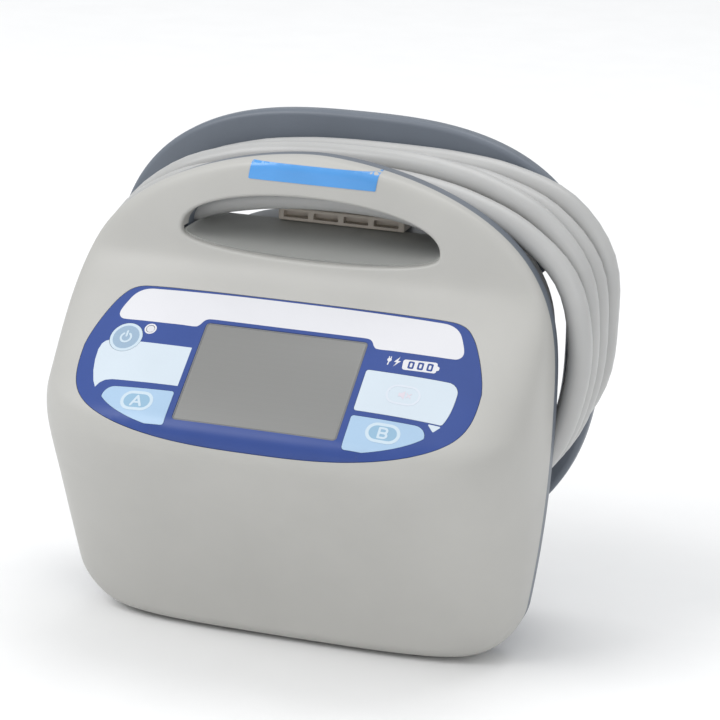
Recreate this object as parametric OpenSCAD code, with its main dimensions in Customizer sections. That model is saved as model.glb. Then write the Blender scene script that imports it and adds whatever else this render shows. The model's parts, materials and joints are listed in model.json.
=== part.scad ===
// Compression therapy pump: a bedside controller with two wound air hoses.
// Millimetres. +Z is up, the panel faces -Y, the origin is on the floor under
// the middle of the housing. Inside the modules y = 0 is the plane where the
// light front cover meets the dark rear housing.

/* [Housing] */
// Height of the front cover
cover_h = 172; // [160:1:184]
// Half of the cover's greatest width
cover_half_w = 88.3; // [84:0.1:92]
// Height at which the cover is widest
widest_z = 86.8; // [80:0.1:92]
// How far the sides draw in from the widest height to the base
base_draw = 8.3; // [6:0.1:10]
// Radius of the two base corners seen from the front
base_corner_r = 18.3; // [15:0.1:22]
// Wall thickness of the moulded shells
wall = 3; // [2.4:0.1:3.2]
// Depth of the rear housing's rim behind the cover
rim_d = 7.3; // [5:0.1:7.4]
// Height of the rubber feet under the housing
foot_h = 1.2; // [0.8:0.1:2]

/* [Handle] */
// Half width of the finger opening
grip_half_w = 47; // [42:0.5:48]
// Height of the opening's ends
grip_z = 143; // [141:0.5:145]
// Rise of the opening's upper edge above its ends
grip_rise = 15; // [12:0.5:15.5]
// Drop of the opening's lower edge below its ends
grip_drop = 7.3; // [5:0.1:8]

/* [Control panel] */
// Height of the middle of the screen
panel_z = 102.9; // [101:0.1:104]
// Lean of the panel, up from the horizontal
panel_tilt = 37.6; // [36:0.1:39]
// Half width of the blue overlay
overlay_half_w = 71.5; // [69:0.5:72]
// Visible width of the screen
screen_w = 58.6; // [50:0.1:60]
// Visible height of the screen along the slope
screen_h = 41.6; // [36:0.1:43]
// Travel of each key
key_travel = 0.5; // [0.3:0.1:0.6]

/* [Hose reel] */
// Half width of the neck that the hoses go round
neck_half_w = 63; // [62:0.5:64]
// Height of the underside of the neck
neck_bottom = 64; // [62:0.5:66]
// Height of the deck on top of the neck
neck_top = 142.2; // [141.5:0.1:142.4]
// Plane of the neck's rear wall
neck_back = 42; // [40:0.5:43]
// Outer diameter of the hoses
hose_d = 8.6; // [8:0.1:9]

/* [Rear guard and bed hook] */
// Half width of the rear guard
guard_half_w = 93.4; // [90:0.1:95]
// Height of the guard's centre
guard_z = 99.3; // [98:0.1:101]
// Rise of the guard's top above its centre
guard_up = 79.2; // [77:0.1:80]
// Drop of the guard's bottom below its centre
guard_down = 84; // [80:0.1:86]
// Width of the guard's band at its top
guard_band = 15; // [14:0.5:16]
// Plane of the guard's rear face
guard_back = 52; // [51:0.1:53]
// Thickness of the guard
guard_t = 7.5; // [6:0.1:7.8]

/* [Hidden] */
$fn = 48;

// Colours
cover_grey = [0.77, 0.77, 0.755];
tray_grey = [0.68, 0.69, 0.69];
slate = [0.36, 0.39, 0.43];
overlay_blue = [0.25, 0.31, 0.60];
key_blue = [0.72, 0.85, 0.95];
pale_blue = [0.87, 0.93, 0.97];
screen_grey = [0.60, 0.60, 0.59];
board_green = [0.10, 0.36, 0.22];
metal_grey = [0.72, 0.73, 0.75];
black = [0.12, 0.12, 0.13];
hose_grey = [0.72, 0.72, 0.70];
beige = [0.80, 0.75, 0.68];

// Side profile of the cover at its middle: height, depth, slope of the depth
crest_d = 62;
side_profile = [
    [0, 20.5, 0.15], [30, 31.9, 0.53], [60, 49.5, 0.68], [72, 57.6, 0.62],
    [81, crest_d, 0.2], [91, 58.6, -1.3], [120, 20.6, -1.3], [134, 7.6, -0.25],
    [141, 7, 0], [cover_h, 7, 0]
];
edge_r = 5;             // rounding of the cover's front edge at top and base
outline_n = 1.71;       // fullness of the cover's shoulders, sideways
outline_m = 3.43;       // fullness of the cover's shoulders, upwards
section_n = 3.35;       // fullness of the cover's cross-section, sideways
section_m = 3.85;       // fullness of the cover's cross-section, forwards
lip_d = 0.6;            // straight lip behind the cover's curve
front_reach = 62.33;    // foremost point of the panel's crest
part_y = (front_reach - guard_back) / 2;
panel_y = -42.9;        // depth of the panel's plane at panel_z
fit_gap = 0.3;

// ---------- shared functions ----------

function flat_power(v, e) = sign(v) * pow(abs(v), e);

function hermite(a, b, z) =
    let (h = b[0] - a[0], t = (z - a[0]) / h)
    (2 * t * t * t - 3 * t * t + 1) * a[1] + (t * t * t - 2 * t * t + t) * h * a[2]
    + (3 * t * t - 2 * t * t * t) * b[1] + (t * t * t - t * t) * h * b[2];

function profile_depth(z, i = 0) =
    (z <= side_profile[i + 1][0] || i == len(side_profile) - 2)
    ? hermite(side_profile[i], side_profile[i + 1], z) : profile_depth(z, i + 1);

// Depth taken off by a rounding of radius r at distance s from the edge
function round_off(s, r) = s >= r ? 0 : r - sqrt(max(0, r * r - (r - s) * (r - s)));

// Half width of the cover's outline, inset g
function half_width(z, g) =
    z >= widest_z
    ? (cover_half_w - g)
      * pow(max(0, 1 - pow((z - widest_z) / (cover_h - g - widest_z), outline_m)), 1 / outline_n)
    : cover_half_w - g - base_draw * pow((widest_z - z) / widest_z, 2)
      - round_off(z - g, base_corner_r - g);

// Depth of the cover at its middle, inset g
function middle_depth(z, g) =
    profile_depth(z) - g
    - round_off(cover_h - g - z, max(edge_r - g, 1)) - round_off(z - g, max(edge_r - g, 1));

// One point of the cover's surface: turn 0 to 180 runs from right to left
function cover_point(z, turn, g) = [
    half_width(z, g) * flat_power(cos(turn), 2 / section_n),
    -middle_depth(z, g) * flat_power(sin(turn), 2 / section_m),
    z
];

// Heights of the rows, closer together where the form bends
function row_heights(g) = [
    g, g + 0.7, g + 2.2, g + 5, 14, 24, 38, 52, 64, 73, 79, 84, 89, 94, 101, 108, 115, 121,
    127, 133, 139, 145, 150, 155, 159, cover_h - g - 9, cover_h - g - 6.3, cover_h - g - 4,
    cover_h - g - 2.2, cover_h - g - 1, cover_h - g - 0.35, cover_h - g - 0.06
];

turns = [0, 3, 9, 17, 26, 36, 48, 62, 76, 90, 104, 118, 132, 144, 154, 163, 171, 177, 180];

// Closed solid between the cover's surface, inset g, and the plane y = back
module cover_solid(g, back) {
    heights = row_heights(g);
    columns = len(turns);
    rows = len(heights);
    front = [for (z = heights) for (t = turns) cover_point(z, t, g)];
    rear_right = [for (z = heights) [half_width(z, g), back, z]];
    rear_left = [for (z = heights) [-half_width(z, g), back, z]];
    last = (rows - 1) * columns;
    right = rows * columns;
    left = right + rows;
    polyhedron(
        points = concat(front, rear_right, rear_left),
        faces = concat(
            [for (r = [0 : rows - 2]) for (c = [0 : columns - 2]) let (i = r * columns + c)
                each [[i, i + 1, i + columns], [i + 1, i + columns + 1, i + columns]]],
            [for (r = [0 : rows - 2]) let (i = r * columns, j = i + columns - 1) each [
                [i, i + columns, right + r], [i + columns, right + r + 1, right + r],
                [j, left + r, j + columns], [left + r, left + r + 1, j + columns],
                [right + r, right + r + 1, left + r], [right + r + 1, left + r + 1, left + r]]],
            [concat([for (c = [columns - 1 : -1 : 0]) c], [right, left])],
            [concat([for (c = [0 : columns - 1]) last + c], [left + rows - 1, right + rows - 1])]
        ),
        convexity = 8);
}

// Moves the housing's own frame to the part's origin
module in_place() {
    translate([0, part_y, foot_h]) children();
}

// Stands a drawing in the XZ plane up, from y = from to y = to
module upright(from, to) {
    translate([0, to, 0]) rotate([90, 0, 0]) linear_extrude(to - from) children();
}

// Frame of the panel: x across, y up the slope, z out of the panel
module on_panel() {
    translate([0, panel_y, panel_z]) rotate([panel_tilt, 0, 0]) children();
}

// The cover's outline in the XZ plane, inset g
module cover_outline(g) {
    heights = row_heights(g);
    right = [for (z = heights) [half_width(z, g), z]];
    left = [for (i = [len(heights) - 1 : -1 : 0]) [-half_width(heights[i], g), heights[i]]];
    polygon(concat(right, left));
}

// Outline of the finger opening, grown by g
module grip_outline(g = 0) {
    steps = 20;
    half_w = grip_half_w + g;
    polygon(concat(
        [for (i = [0 : steps]) let (t = 180 * i / steps)
            [half_w * cos(t), grip_z + (grip_rise + g) * pow(sin(t), 0.9)]],
        [for (i = [1 : steps - 1]) let (t = 180 + 180 * i / steps)
            [half_w * cos(t), grip_z - (grip_drop + g) * pow(abs(sin(t)), 0.75)]]
    ));
}

module rounded_rect(w, h, r) {
    hull() for (x = [-1, 1], y = [-1, 1]) translate([x * (w / 2 - r), y * (h / 2 - r)]) circle(r);
}

// Superellipse oval with its own rise and drop
module oval(half_w, up, down, n_up, n_down, steps = 16) {
    polygon(concat(
        [for (i = [0 : steps]) let (t = 180 * i / steps)
            [half_w * flat_power(cos(t), 2 / n_up), up * flat_power(sin(t), 2 / n_up)]],
        [for (i = [1 : steps - 1]) let (t = 180 + 180 * i / steps)
            [half_w * flat_power(cos(t), 2 / n_down), down * flat_power(sin(t), 2 / n_down)]]
    ));
}

// A plate with soft corners: the polygon's edges carried by round strokes of radius r
module soft_polygon(corners, r) {
    n = len(corners);
    polygon(corners);
    for (i = [0 : n - 1]) hull() {
        translate(corners[i]) circle(r, $fn = 12);
        translate(corners[(i + 1) % n]) circle(r, $fn = 12);
    }
}

// ---------- control panel drawings, in the panel's frame ----------

overlay_mid = 8;        // height up the slope where the overlay is widest
module overlay_outline(g = 0) {
    translate([0, overlay_mid]) oval(overlay_half_w + g, 23.4 + g, 35.6 + g, 4.5, 3);
}

power_at = [-56.5, 11.3];
power_r = 6;
light_at = [-48.6, 15.6];
light_r = 1.6;
mute_at = [46.5, 1.5];
letter_at = [43.8, -14.8];
key_round = 1;

field_drop = 33;        // drop of the fields' border below the overlay's widest height
field_corner = 3;       // rounding of a field's upper outer corner
field_inner = 32.6;     // side of the fields beside the screen

// Distance from the middle of the fields' border, at height v up the slope
function field_edge(v) =
    (overlay_half_w - 7.5) * pow(1 - pow(max(0, overlay_mid - v) / field_drop, 3), 1 / 3);

// Corner points of a key field between two heights, from its lower outer corner round to the screen
function field_corners(low, high) =
    let (bend = high - field_corner, mid_u = field_edge(bend) - key_round - field_corner)
    concat(
        [for (i = [0 : 4]) let (v = low + (bend - low) * i / 4) [field_edge(v) - key_round, v]],
        [for (t = [30 : 30 : 90]) [mid_u + field_corner * cos(t), bend + field_corner * sin(t)]],
        [[field_inner, high], [field_inner, (low + high) / 2], [field_inner, low]]
    );

// Key A and key B share one drawing; side is -1 for A and 1 for B
module letter_key_outline(side, g = 0) {
    mirror([side < 0 ? 1 : 0, 0]) soft_polygon(field_corners(-22.2, -10.5), key_round + g);
}

module mute_key_outline(g = 0) {
    soft_polygon(field_corners(-6.4, 8.6), key_round + g);
}

module power_key_outline(g = 0) {
    soft_polygon([for (t = [0 : 30 : 330]) power_at + (power_r - key_round) * [cos(t), sin(t)]],
        key_round + g);
}

// Openings through the panel for the screen, the keys and the light
module panel_windows(g) {
    rounded_rect(screen_w + 2 * g, screen_h + 2 * g, 1.5);
    translate(light_at) circle(light_r + g, $fn = 16);
    power_key_outline(fit_gap);
    mute_key_outline(fit_gap);
    letter_key_outline(-1, fit_gap);
    letter_key_outline(1, fit_gap);
}

// A skin that follows the cover's surface, cut to a drawing on the panel
module surface_skin(inset, thickness) {
    intersection() {
        difference() {
            cover_solid(inset, lip_d);
            cover_solid(inset + thickness, lip_d + 1);
        }
        on_panel() translate([0, 0, -30]) linear_extrude(60) children();
    }
}

// ---------- shells ----------

post_places = [[-52, 19], [52, 19], [-57, -18], [57, -18]];
boss_places = [[-72, 26], [72, 26], [-58, 127], [58, 127]];
boss_r = 4;
screw_r = 1.2;
overlay_t = 0.7;
pocket_d = 0.8;

module front_cover() {
    color(cover_grey) in_place() difference() {
        cover_solid(0, lip_d);
        difference() {
            cover_solid(wall, lip_d + 1);
            for (p = boss_places) translate([p[0], 3, p[1]]) rotate([90, 0, 0])
                cylinder(h = 80, r = boss_r, $fn = 16);
            upright(-30, 5) grip_wall(2.4);
            on_panel() for (p = post_places) translate([p[0], p[1], board_low + board_t])
                cylinder(h = 20, r = 2.5, $fn = 16);
        }
        for (p = boss_places) translate([p[0], 3, p[1]]) rotate([90, 0, 0])
            cylinder(h = 10, r = screw_r + 0.05, $fn = 16);
        upright(-30, 5) grip_outline();
        on_panel() translate([0, 0, -14]) linear_extrude(28) panel_windows(0);
        difference() {
            on_panel() translate([0, 0, -14]) linear_extrude(40) overlay_outline(0.2);
            cover_solid(pocket_d, lip_d + 2);
        }
    }
}

// Rim of the finger opening's lower edge at distance x from the middle, inset g
function grip_lip(x, g) =
    let (q = max(0, 1 - pow(x / (grip_half_w - g), 2))) grip_z - (grip_drop - g) * pow(q, 0.375);

tray_front = -3.8;
tray_back = 24.6;
tray_t = 2.2;
tray_gap = 0.5;

// The moulded finger tray: from the opening's lower edge it rises to the deck
module handle_tray() {
    half_w = grip_half_w - tray_gap;
    across = 18;
    rows = 6;
    places = concat([-half_w],
        [for (c = [0 : across]) -(half_w - tray_t) * cos(180 * c / across)], [half_w]);
    columns = len(places);
    function lip(c) = grip_lip(places[c] * 0.999, tray_gap);
    function top_z(c, r) = lip(c) + (neck_top - lip(c)) * (1 - pow(1 - r / rows, 1.25));
    function low_z(c, r) = c < 2 || c > columns - 3 ? tray_seat : top_z(c, r) - tray_t;
    function row_y(r) = tray_front + (tray_back - tray_front) * r / rows;
    count = columns * (rows + 1);
    top = [for (r = [0 : rows]) for (c = [0 : columns - 1]) [places[c], row_y(r), top_z(c, r)]];
    low = [for (r = [0 : rows]) for (c = [0 : columns - 1]) [places[c], row_y(r), low_z(c, r)]];
    end = rows * columns;
    color(tray_grey) in_place() polyhedron(
        points = concat(top, low),
        faces = concat(
            [for (r = [0 : rows - 1]) for (c = [0 : columns - 2]) let (i = r * columns + c, j = i + count) each [
                [i, i + columns, i + 1], [i + 1, i + columns, i + columns + 1],
                [j, j + 1, j + columns], [j + 1, j + columns + 1, j + columns]]],
            [for (c = [0 : columns - 2]) let (j = end + c) each [
                [c, c + 1, count + c], [c + 1, count + c + 1, count + c],
                [j, count + j, j + 1], [j + 1, count + j, count + j + 1]]],
            [for (r = [0 : rows - 1]) let (i = r * columns, j = i + columns - 1) each [
                [i, count + i, i + columns], [i + columns, count + i, count + i + columns],
                [j, j + columns, count + j], [j + columns, count + j + columns, count + j]]]
        ));
}

base_half_w = 62;
base_h = 30;
base_back = 44.4;
rim_inset = 0.2;        // step from the cover's edge down to the rim
rim_wall = 2.6;
web_front = 3.6;
neck_corner_top = 42;
neck_corner_low = 36;
fan_at = [30, 100];
fan_r = 17;

module neck_outline(g = 0) {
    high = neck_top - neck_corner_top;
    low = neck_bottom + neck_corner_low;
    for (s = [-1, 1]) {
        translate([s * (neck_half_w - neck_corner_top), high]) intersection() {
            circle(neck_corner_top - g);
            translate([-neck_corner_top, 0]) square(2 * neck_corner_top);
        }
        translate([s * (neck_half_w - neck_corner_low), low]) intersection() {
            circle(neck_corner_low - g);
            translate([-neck_corner_low, -2 * neck_corner_low]) square(2 * neck_corner_low);
        }
    }
    translate([g - neck_half_w, low - 1]) square([2 * (neck_half_w - g), high - low + 2]);
    translate([neck_corner_top - neck_half_w, low])
        square([2 * (neck_half_w - neck_corner_top), neck_top - g - low]);
    translate([neck_corner_low - neck_half_w, neck_bottom + g])
        square([2 * (neck_half_w - neck_corner_low), high - neck_bottom - g]);
}

module base_outline(g = 0) {
    translate([-base_half_w + g, g]) square([2 * (base_half_w - g), base_h - 2 * g]);
}

module rear_housing() {
    color(slate) in_place() difference() {
        union() {
            upright(lip_d + fit_gap, rim_d) cover_outline(rim_inset);
            upright(web_front, neck_back) neck_outline();
            upright(web_front, base_back) base_outline();
            // Lugs for the hook's pin
            for (s = [-1, 1], x = lug_places) translate([s * x - lug_w / 2, neck_back - 1, hook_z - pin_lug_r])
                cube([lug_w, hook_y - neck_back + 1, 2 * pin_lug_r]);
            for (s = [-1, 1], x = lug_places) translate([s * x - lug_w / 2, hook_y, hook_z])
                rotate([0, 90, 0]) cylinder(h = lug_w, r = pin_lug_r);
        }
        difference() {
            upright(-1, web_front) cover_outline(rim_inset + rim_wall);
            upright(-2, web_front + 1) grip_wall(3);
        }
        upright(-1, neck_back - wall) intersection() {
            neck_outline(wall);
            translate([-80, 0]) square([160, tray_seat - wall]);
        }
        upright(tray_back + wall, neck_back - wall) neck_outline(wall);
        upright(-1, base_back - wall) base_outline(wall);
        upright(-2, rim_d + 1) intersection() {
            grip_outline(0.4);
            translate([-80, tray_seat]) square([160, 60]);
        }
        // Seat of the tray, in front of the deck
        translate([-grip_half_w, 0, tray_seat]) cube([2 * grip_half_w, tray_back, neck_top - tray_seat + 0.5]);
        // Vent slots behind the fan
        for (i = [-3 : 3]) translate([fan_at[0] + i * 5 - 1.2, neck_back - wall - 1, fan_at[1] - 15])
            cube([2.4, wall + 2, 30]);
        // Mains inlet, ports, pin and screws
        translate([-base_half_w - 1, inlet_y - 11.5, inlet_z - 8.5]) cube([wall + 2, 23, 17]);
        for (x = [-stem_x, stem_x]) translate([x, stem_y, neck_bottom - 1])
            cylinder(h = wall + 2, r = stem_r + 0.2);
        translate([-60, hook_y, hook_z]) rotate([0, 90, 0]) cylinder(h = 120, r = pin_r);
        for (p = boss_places) translate([p[0], rim_d + 1, p[1]]) rotate([90, 0, 0]) {
            cylinder(h = 5, r = 1.5);
            cylinder(h = 2.6, r = 2.8);
        }
    }
    housing_posts();
}

// Posts inside the rear housing for the boards, the valves and the pump
module housing_posts() {
    color(slate) in_place() {
        for (x = [-56, 56], z = [35, 59]) upright(-2.4, web_front + 0.5) translate([x, z]) circle(3);
        for (x = [-22, 50], y = [12, 34]) translate([x, y, wall - 0.5]) cylinder(h = 2.5, r = 2.5);
        for (x = [-13, 13], z = [-13, 13]) upright(pump_at[1] + 14, neck_back - wall + 0.5)
            translate([pump_at[0] + x, pump_at[2] + z]) circle(1.9);
        intersection() {
            for (x = [-15, 15]) translate([valve_at[0] + x, valve_at[1] + 5, neck_bottom + 1])
                cylinder(h = valve_at[2] - neck_bottom - 1, r = 2.5);
            upright(0, neck_back) neck_outline(1);
        }
    }
}

tray_seat = 133.4;

// Material kept round the finger opening inside the rim
module grip_wall(g) {
    difference() {
        grip_outline(g);
        translate([-80, 0]) square([160, grip_z]);
    }
}

// ---------- rear guard and bed hook ----------

guard_side_band = 12.8;
guard_n_up = 2.72;
guard_n_down = 2.41;
spoke_ends = [[[52, 116], [80, 142]], [[51.5, 80], [82, 63]]];

module guard_ring(g) {
    translate([0, guard_z]) difference() {
        oval(guard_half_w - g, guard_up - g, guard_down - g, guard_n_up, guard_n_down, 28);
        oval(guard_half_w - guard_side_band + g, guard_up - guard_band + g,
            guard_down - guard_band + g, guard_n_up, guard_n_down, 28);
    }
}

module rear_guard() {
    edge = 1.2;
    front = guard_back - guard_t;
    color(slate) in_place() difference() {
        union() {
            upright(front, front + edge) guard_ring(edge);
            upright(front + edge, guard_back - edge) guard_ring(0);
            upright(guard_back - edge, guard_back) guard_ring(edge);
            for (s = [-1, 1], e = spoke_ends) upright(front, guard_back - 2) hull() {
                translate([s * e[0][0], e[0][1]]) circle(4.5, $fn = 32);
                translate([s * e[1][0], e[1][1]]) circle(4.5, $fn = 32);
            }
            for (s = [-1, 1], e = spoke_ends) upright(neck_back, front)
                translate([s * e[0][0], e[0][1]]) circle(4);
        }
        for (s = [-1, 1], e = spoke_ends) upright(neck_back - 1, guard_back + 1)
            translate([s * e[0][0], e[0][1]]) circle(1.6);
    }
}

module guard_screws() {
    color(metal_grey) in_place() for (s = [-1, 1], e = spoke_ends) translate([s * e[0][0], 0, e[0][1]]) {
        upright(guard_back - 2, guard_back - 0.4) circle(2.8);
        upright(neck_back + 0.3, guard_back - 2) circle(1.4);
    }
}

hook_y = 47.4;
hook_z = 128;
hook_r = 4.2;
hook_half_w = 46;
hook_band = 10;
hook_low = 44;
hook_t = 6;
pin_r = 2;
pin_lug_r = 4;
lug_w = 5;
lug_places = [24, 49.4];

module hook_outline() {
    difference() {
        hull() {
            for (s = [-1, 1]) translate([s * (hook_half_w - 16), hook_low + 16]) circle(16);
            translate([-hook_half_w, hook_z - 1]) square([2 * hook_half_w, 1]);
        }
        hull() {
            for (s = [-1, 1]) translate([s * (hook_half_w - 18), hook_low + 18]) circle(8);
            translate([hook_band - hook_half_w, hook_z]) square([2 * (hook_half_w - hook_band), 1]);
        }
    }
}

module bed_hook() {
    color(slate) in_place() difference() {
        union() {
            upright(hook_y - hook_t / 2, hook_y + hook_t / 2) hook_outline();
            for (s = [-1, 1]) translate([s * (hook_half_w - hook_band / 2) - hook_band / 2, hook_y, hook_z])
                rotate([0, 90, 0]) cylinder(h = hook_band, r = hook_r);
        }
        translate([-60, hook_y, hook_z]) rotate([0, 90, 0]) cylinder(h = 120, r = pin_r + 0.05);
        // Finger notch in the lower bar
        upright(hook_y - hook_t, hook_y + hook_t) translate([0, hook_low - 20]) circle(23);
    }
}

module hook_pads() {
    color(black) in_place() for (s = [-1, 1]) upright(hook_y - hook_t / 2 - 1.6, hook_y - hook_t / 2)
        translate([s * (hook_half_w - hook_band / 2), 73]) rounded_rect(7, 16, 2);
}

module hook_pin() {
    color(metal_grey) in_place() translate([-52.6, hook_y, hook_z])
        rotate([0, 90, 0]) cylinder(h = 105.2, r = pin_r);
}

// A tube swept along points, closed at both ends; up is any direction off the path
module swept_tube(path, r, sides, up) {
    n = len(path);
    rings = [for (i = [0 : n - 1])
        let (
            ahead = path[min(i + 1, n - 1)] - path[max(i - 1, 0)],
            t = ahead / norm(ahead),
            a = cross(up, t) / norm(cross(up, t)),
            b = cross(t, a)
        )
        for (k = [0 : sides - 1]) path[i] + r * (cos(360 * k / sides) * a + sin(360 * k / sides) * b)];
    polyhedron(
        points = rings,
        faces = concat(
            [[for (k = [0 : sides - 1]) k]],
            [[for (k = [sides - 1 : -1 : 0]) (n - 1) * sides + k]],
            [for (i = [0 : n - 2]) for (k = [0 : sides - 1]) let (m = (k + 1) % sides) each [
                [i * sides + k, (i + 1) * sides + k, i * sides + m],
                [i * sides + m, (i + 1) * sides + k, (i + 1) * sides + m]]]
        ));
}

spring_curls = 4;
spring_wire = 0.55;
spring_r = 3.1;

// One wound torsion spring per side, on the pin between the inner lug and the hook's arm
module hook_springs() {
    length = 6.5;
    reach = 14;
    coil = [for (i = [0 : spring_curls * 8]) let (t = 180 + 45 * i)
        [length * i / (spring_curls * 8), spring_r * cos(t), -spring_r * sin(t)]];
    legs = concat([[0, -spring_r, reach], [0, -spring_r, 4]], coil,
        [[length, -spring_r - 0.3, -4], [length, -spring_r - 0.5, -reach], [length + 5, -spring_r - 0.5, -reach]]);
    color(metal_grey) in_place() for (s = [0, 1]) mirror([s, 0, 0]) translate([28, hook_y, hook_z])
        swept_tube(legs, spring_wire, 6, [0.3, 0.04, 0.02]);
}

// ---------- panel parts ----------

module control_overlay() {
    color(overlay_blue) in_place() difference() {
        surface_skin(0.05, overlay_t) overlay_outline();
        on_panel() translate([0, 0, -20]) linear_extrude(40) panel_windows(0);
    }
}

module lcd_window() {
    color(screen_grey) in_place() on_panel() translate([0, 0, -1.6]) linear_extrude(1.4)
        rounded_rect(screen_w - 0.4, screen_h - 0.4, 1.4);
}

module lcd_module() {
    color(metal_grey) in_place() on_panel() {
        translate([0, 0, board_low + board_t]) linear_extrude(5) rounded_rect(screen_w + 4, screen_h + 1, 1);
        translate([0, 0, -3.8]) linear_extrude(2) rounded_rect(screen_w - 1.2, screen_h - 1.2, 1);
    }
}

board_low = -10.4;
board_t = 1.6;

module display_board() {
    color(board_green) in_place() on_panel() translate([0, 0, board_low]) difference() {
        linear_extrude(board_t) rounded_rect(121, 41, 3);
        for (p = post_places) translate([p[0], p[1], -1]) cylinder(h = 4, r = 1.1);
    }
}

module status_light() {
    color([0.93, 0.93, 0.94]) in_place() on_panel()
        translate([light_at[0], light_at[1], board_low + board_t]) cylinder(h = 8, r = light_r - 0.2);
}

key_skin_t = 1.6;
switch_h = 1;
stem_low = board_low + board_t + switch_h + key_travel + fit_gap;

// A key: a cap level with the overlay and a short stem over its switch
module key_solid(stem_at) {
    surface_skin(0.05, key_skin_t) children();
    intersection() {
        on_panel() translate([stem_at[0], stem_at[1], stem_low]) cylinder(h = 9, r = 2, $fn = 16);
        cover_solid(1, lip_d);
    }
}

module power_key() {
    color(pale_blue) in_place() key_solid(power_at) power_key_outline();
}

module mute_key() {
    color(pale_blue) in_place() key_solid(mute_at) mute_key_outline();
}

module key_a() {
    color(key_blue) in_place() key_solid([-letter_at[0], letter_at[1]]) letter_key_outline(-1);
}

module key_b() {
    color(key_blue) in_place() key_solid(letter_at) letter_key_outline(1);
}

module key_switches() {
    color(black) in_place() on_panel()
        for (p = [power_at, mute_at, letter_at, [-letter_at[0], letter_at[1]]])
            translate([p[0], p[1], board_low + board_t]) {
                translate([-3, -3, 0]) cube([6, 6, 0.7]);
                cylinder(h = switch_h, r = 1.7);
            }
}

// ---------- electronics ----------

module main_board() {
    color(board_green) in_place() {
        difference() {
            upright(-4, -2.4) translate([0, 60]) rounded_rect(122, 60, 3);
            for (x = [-56, 56], z = [35, 59]) upright(-5, -1) translate([x, z]) circle(1.2);
        }
        // Processor, driver packages and the connector row
        upright(-2.4, -1.2) translate([-20, 60]) square([14, 14]);
        for (i = [0 : 3]) upright(-2.4, -0.8) translate([10 + i * 10, 40]) square([6, 9]);
        upright(-2.4, 1) translate([-44, 32]) square([30, 6]);
    }
}

cell_r = 9.2;
cell_l = 65;

module battery_pack() {
    color([0.30, 0.45, 0.70]) in_place() {
        for (i = [0 : 2]) translate([-cell_l / 2, -7.4 - cell_r, 36 + i * 2 * (cell_r - 0.1)])
            rotate([0, 90, 0]) cylinder(h = cell_l, r = cell_r);
        translate([-cell_l / 2, -7.4, 32]) cube([cell_l, 3.4, 44]);
    }
}

module power_supply() {
    color([0.80, 0.76, 0.60]) in_place() translate([-26, 8, wall + 2]) {
        cube([80, 30, 1.6]);
        translate([22, 4, 1.6]) cube([20, 22, 15]);
        for (i = [0 : 1]) translate([52, 8 + i * 13, 1.6]) cylinder(h = 15, r = 5.5);
        translate([62, 3, 1.6]) cube([3, 24, 12]);
        translate([3, 6, 1.6]) cube([14, 16, 9]);
    }
}

inlet_y = 25;
inlet_z = 14.5;

// Mains inlet in the left wall of the base, open towards -X
module mains_inlet() {
    color(black) in_place() {
        difference() {
            union() {
                translate([-base_half_w - 1.6, inlet_y - 13.5, inlet_z - 10.5]) cube([1.6, 27, 21]);
                translate([-base_half_w, inlet_y - 11.3, inlet_z - 8.3]) cube([19, 22.6, 16.6]);
            }
            translate([-base_half_w - 3, inlet_y - 9, inlet_z - 6]) cube([17, 18, 12]);
        }
        for (y = [-5, 5]) translate([-base_half_w + 2, inlet_y + y - 1, inlet_z - 2.5]) cube([12.1, 2, 4]);
        translate([-base_half_w + 2, inlet_y - 1, inlet_z + 1.2]) cube([12.1, 2, 4]);
    }
}

// ---------- pneumatics ----------

pump_at = [-26, 18, 98];
motor_r = 14;
crank_throw = 1.5;
head_r = 12;

// Motor can and two heads on one frame
module pump_body() {
    color(metal_grey) in_place() translate(pump_at) {
        difference() {
            union() {
                rotate([90, 0, 0]) cylinder(h = 15, r = motor_r);
                translate([-15, 0, -15]) cube([30, 14, 30]);
                for (s = [-1, 1]) translate([s > 0 ? 15 : -29, 7, 0])
                    rotate([0, 90, 0]) cylinder(h = 14, r = head_r);
            }
            translate([-11, 1.5, -11]) cube([22, 20, 22]);
            for (s = [-1, 1]) translate([s > 0 ? 5 : -27, 7, 0]) rotate([0, 90, 0]) cylinder(h = 22, r = 8.5);
            rotate([90, 0, 0]) translate([0, 0, -5]) cylinder(h = 30, r = 2.6);
        }
    }
}

// Motor shaft with its eccentric
module pump_rotor() {
    color([0.85, 0.65, 0.35]) in_place() translate(pump_at) {
        rotate([90, 0, 0]) translate([0, 0, -12]) cylinder(h = 28, r = 2.5);
        translate([crank_throw, 11, 0]) rotate([90, 0, 0]) cylinder(h = 8, r = 4.5);
    }
}

// A diaphragm disc with the short rod that the eccentric pushes
module diaphragm(side) {
    color([0.25, 0.25, 0.27]) in_place() translate(pump_at + [0, 7, 0]) mirror([side < 0 ? 1 : 0, 0, 0])
        rotate([0, 90, 0]) {
            translate([0, 0, 20]) cylinder(h = 3, r = 8.1);
            translate([0, 0, 8.4]) cylinder(h = 11.6, r = 2.2);
        }
}

module left_diaphragm() {
    diaphragm(-1);
}

module right_diaphragm() {
    diaphragm(1);
}

valve_at = [28, 12, 78];
valve_gap = 15;
solenoid_r = 6;
plunger_r = 2.5;

// Air manifold with three solenoid coils standing on it
module valve_block() {
    color([0.86, 0.86, 0.84]) in_place() translate(valve_at) difference() {
        union() {
            translate([-23, -8, 0]) cube([46, 16, 10]);
            for (i = [-1 : 1]) translate([i * valve_gap, 0, 10]) cylinder(h = 16, r = solenoid_r);
        }
        for (i = [-1 : 1]) translate([i * valve_gap, 0, 6]) cylinder(h = 24, r = plunger_r + 0.1);
        for (i = [0, 1]) translate([i * valve_gap, 0, -1]) cylinder(h = 8, r = 1.2);
    }
}

module plunger(i) {
    color(metal_grey) in_place() translate(valve_at + [i * valve_gap, 0, 6.3]) cylinder(h = 18, r = plunger_r);
}

module vent_plunger() {
    plunger(-1);
}

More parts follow.
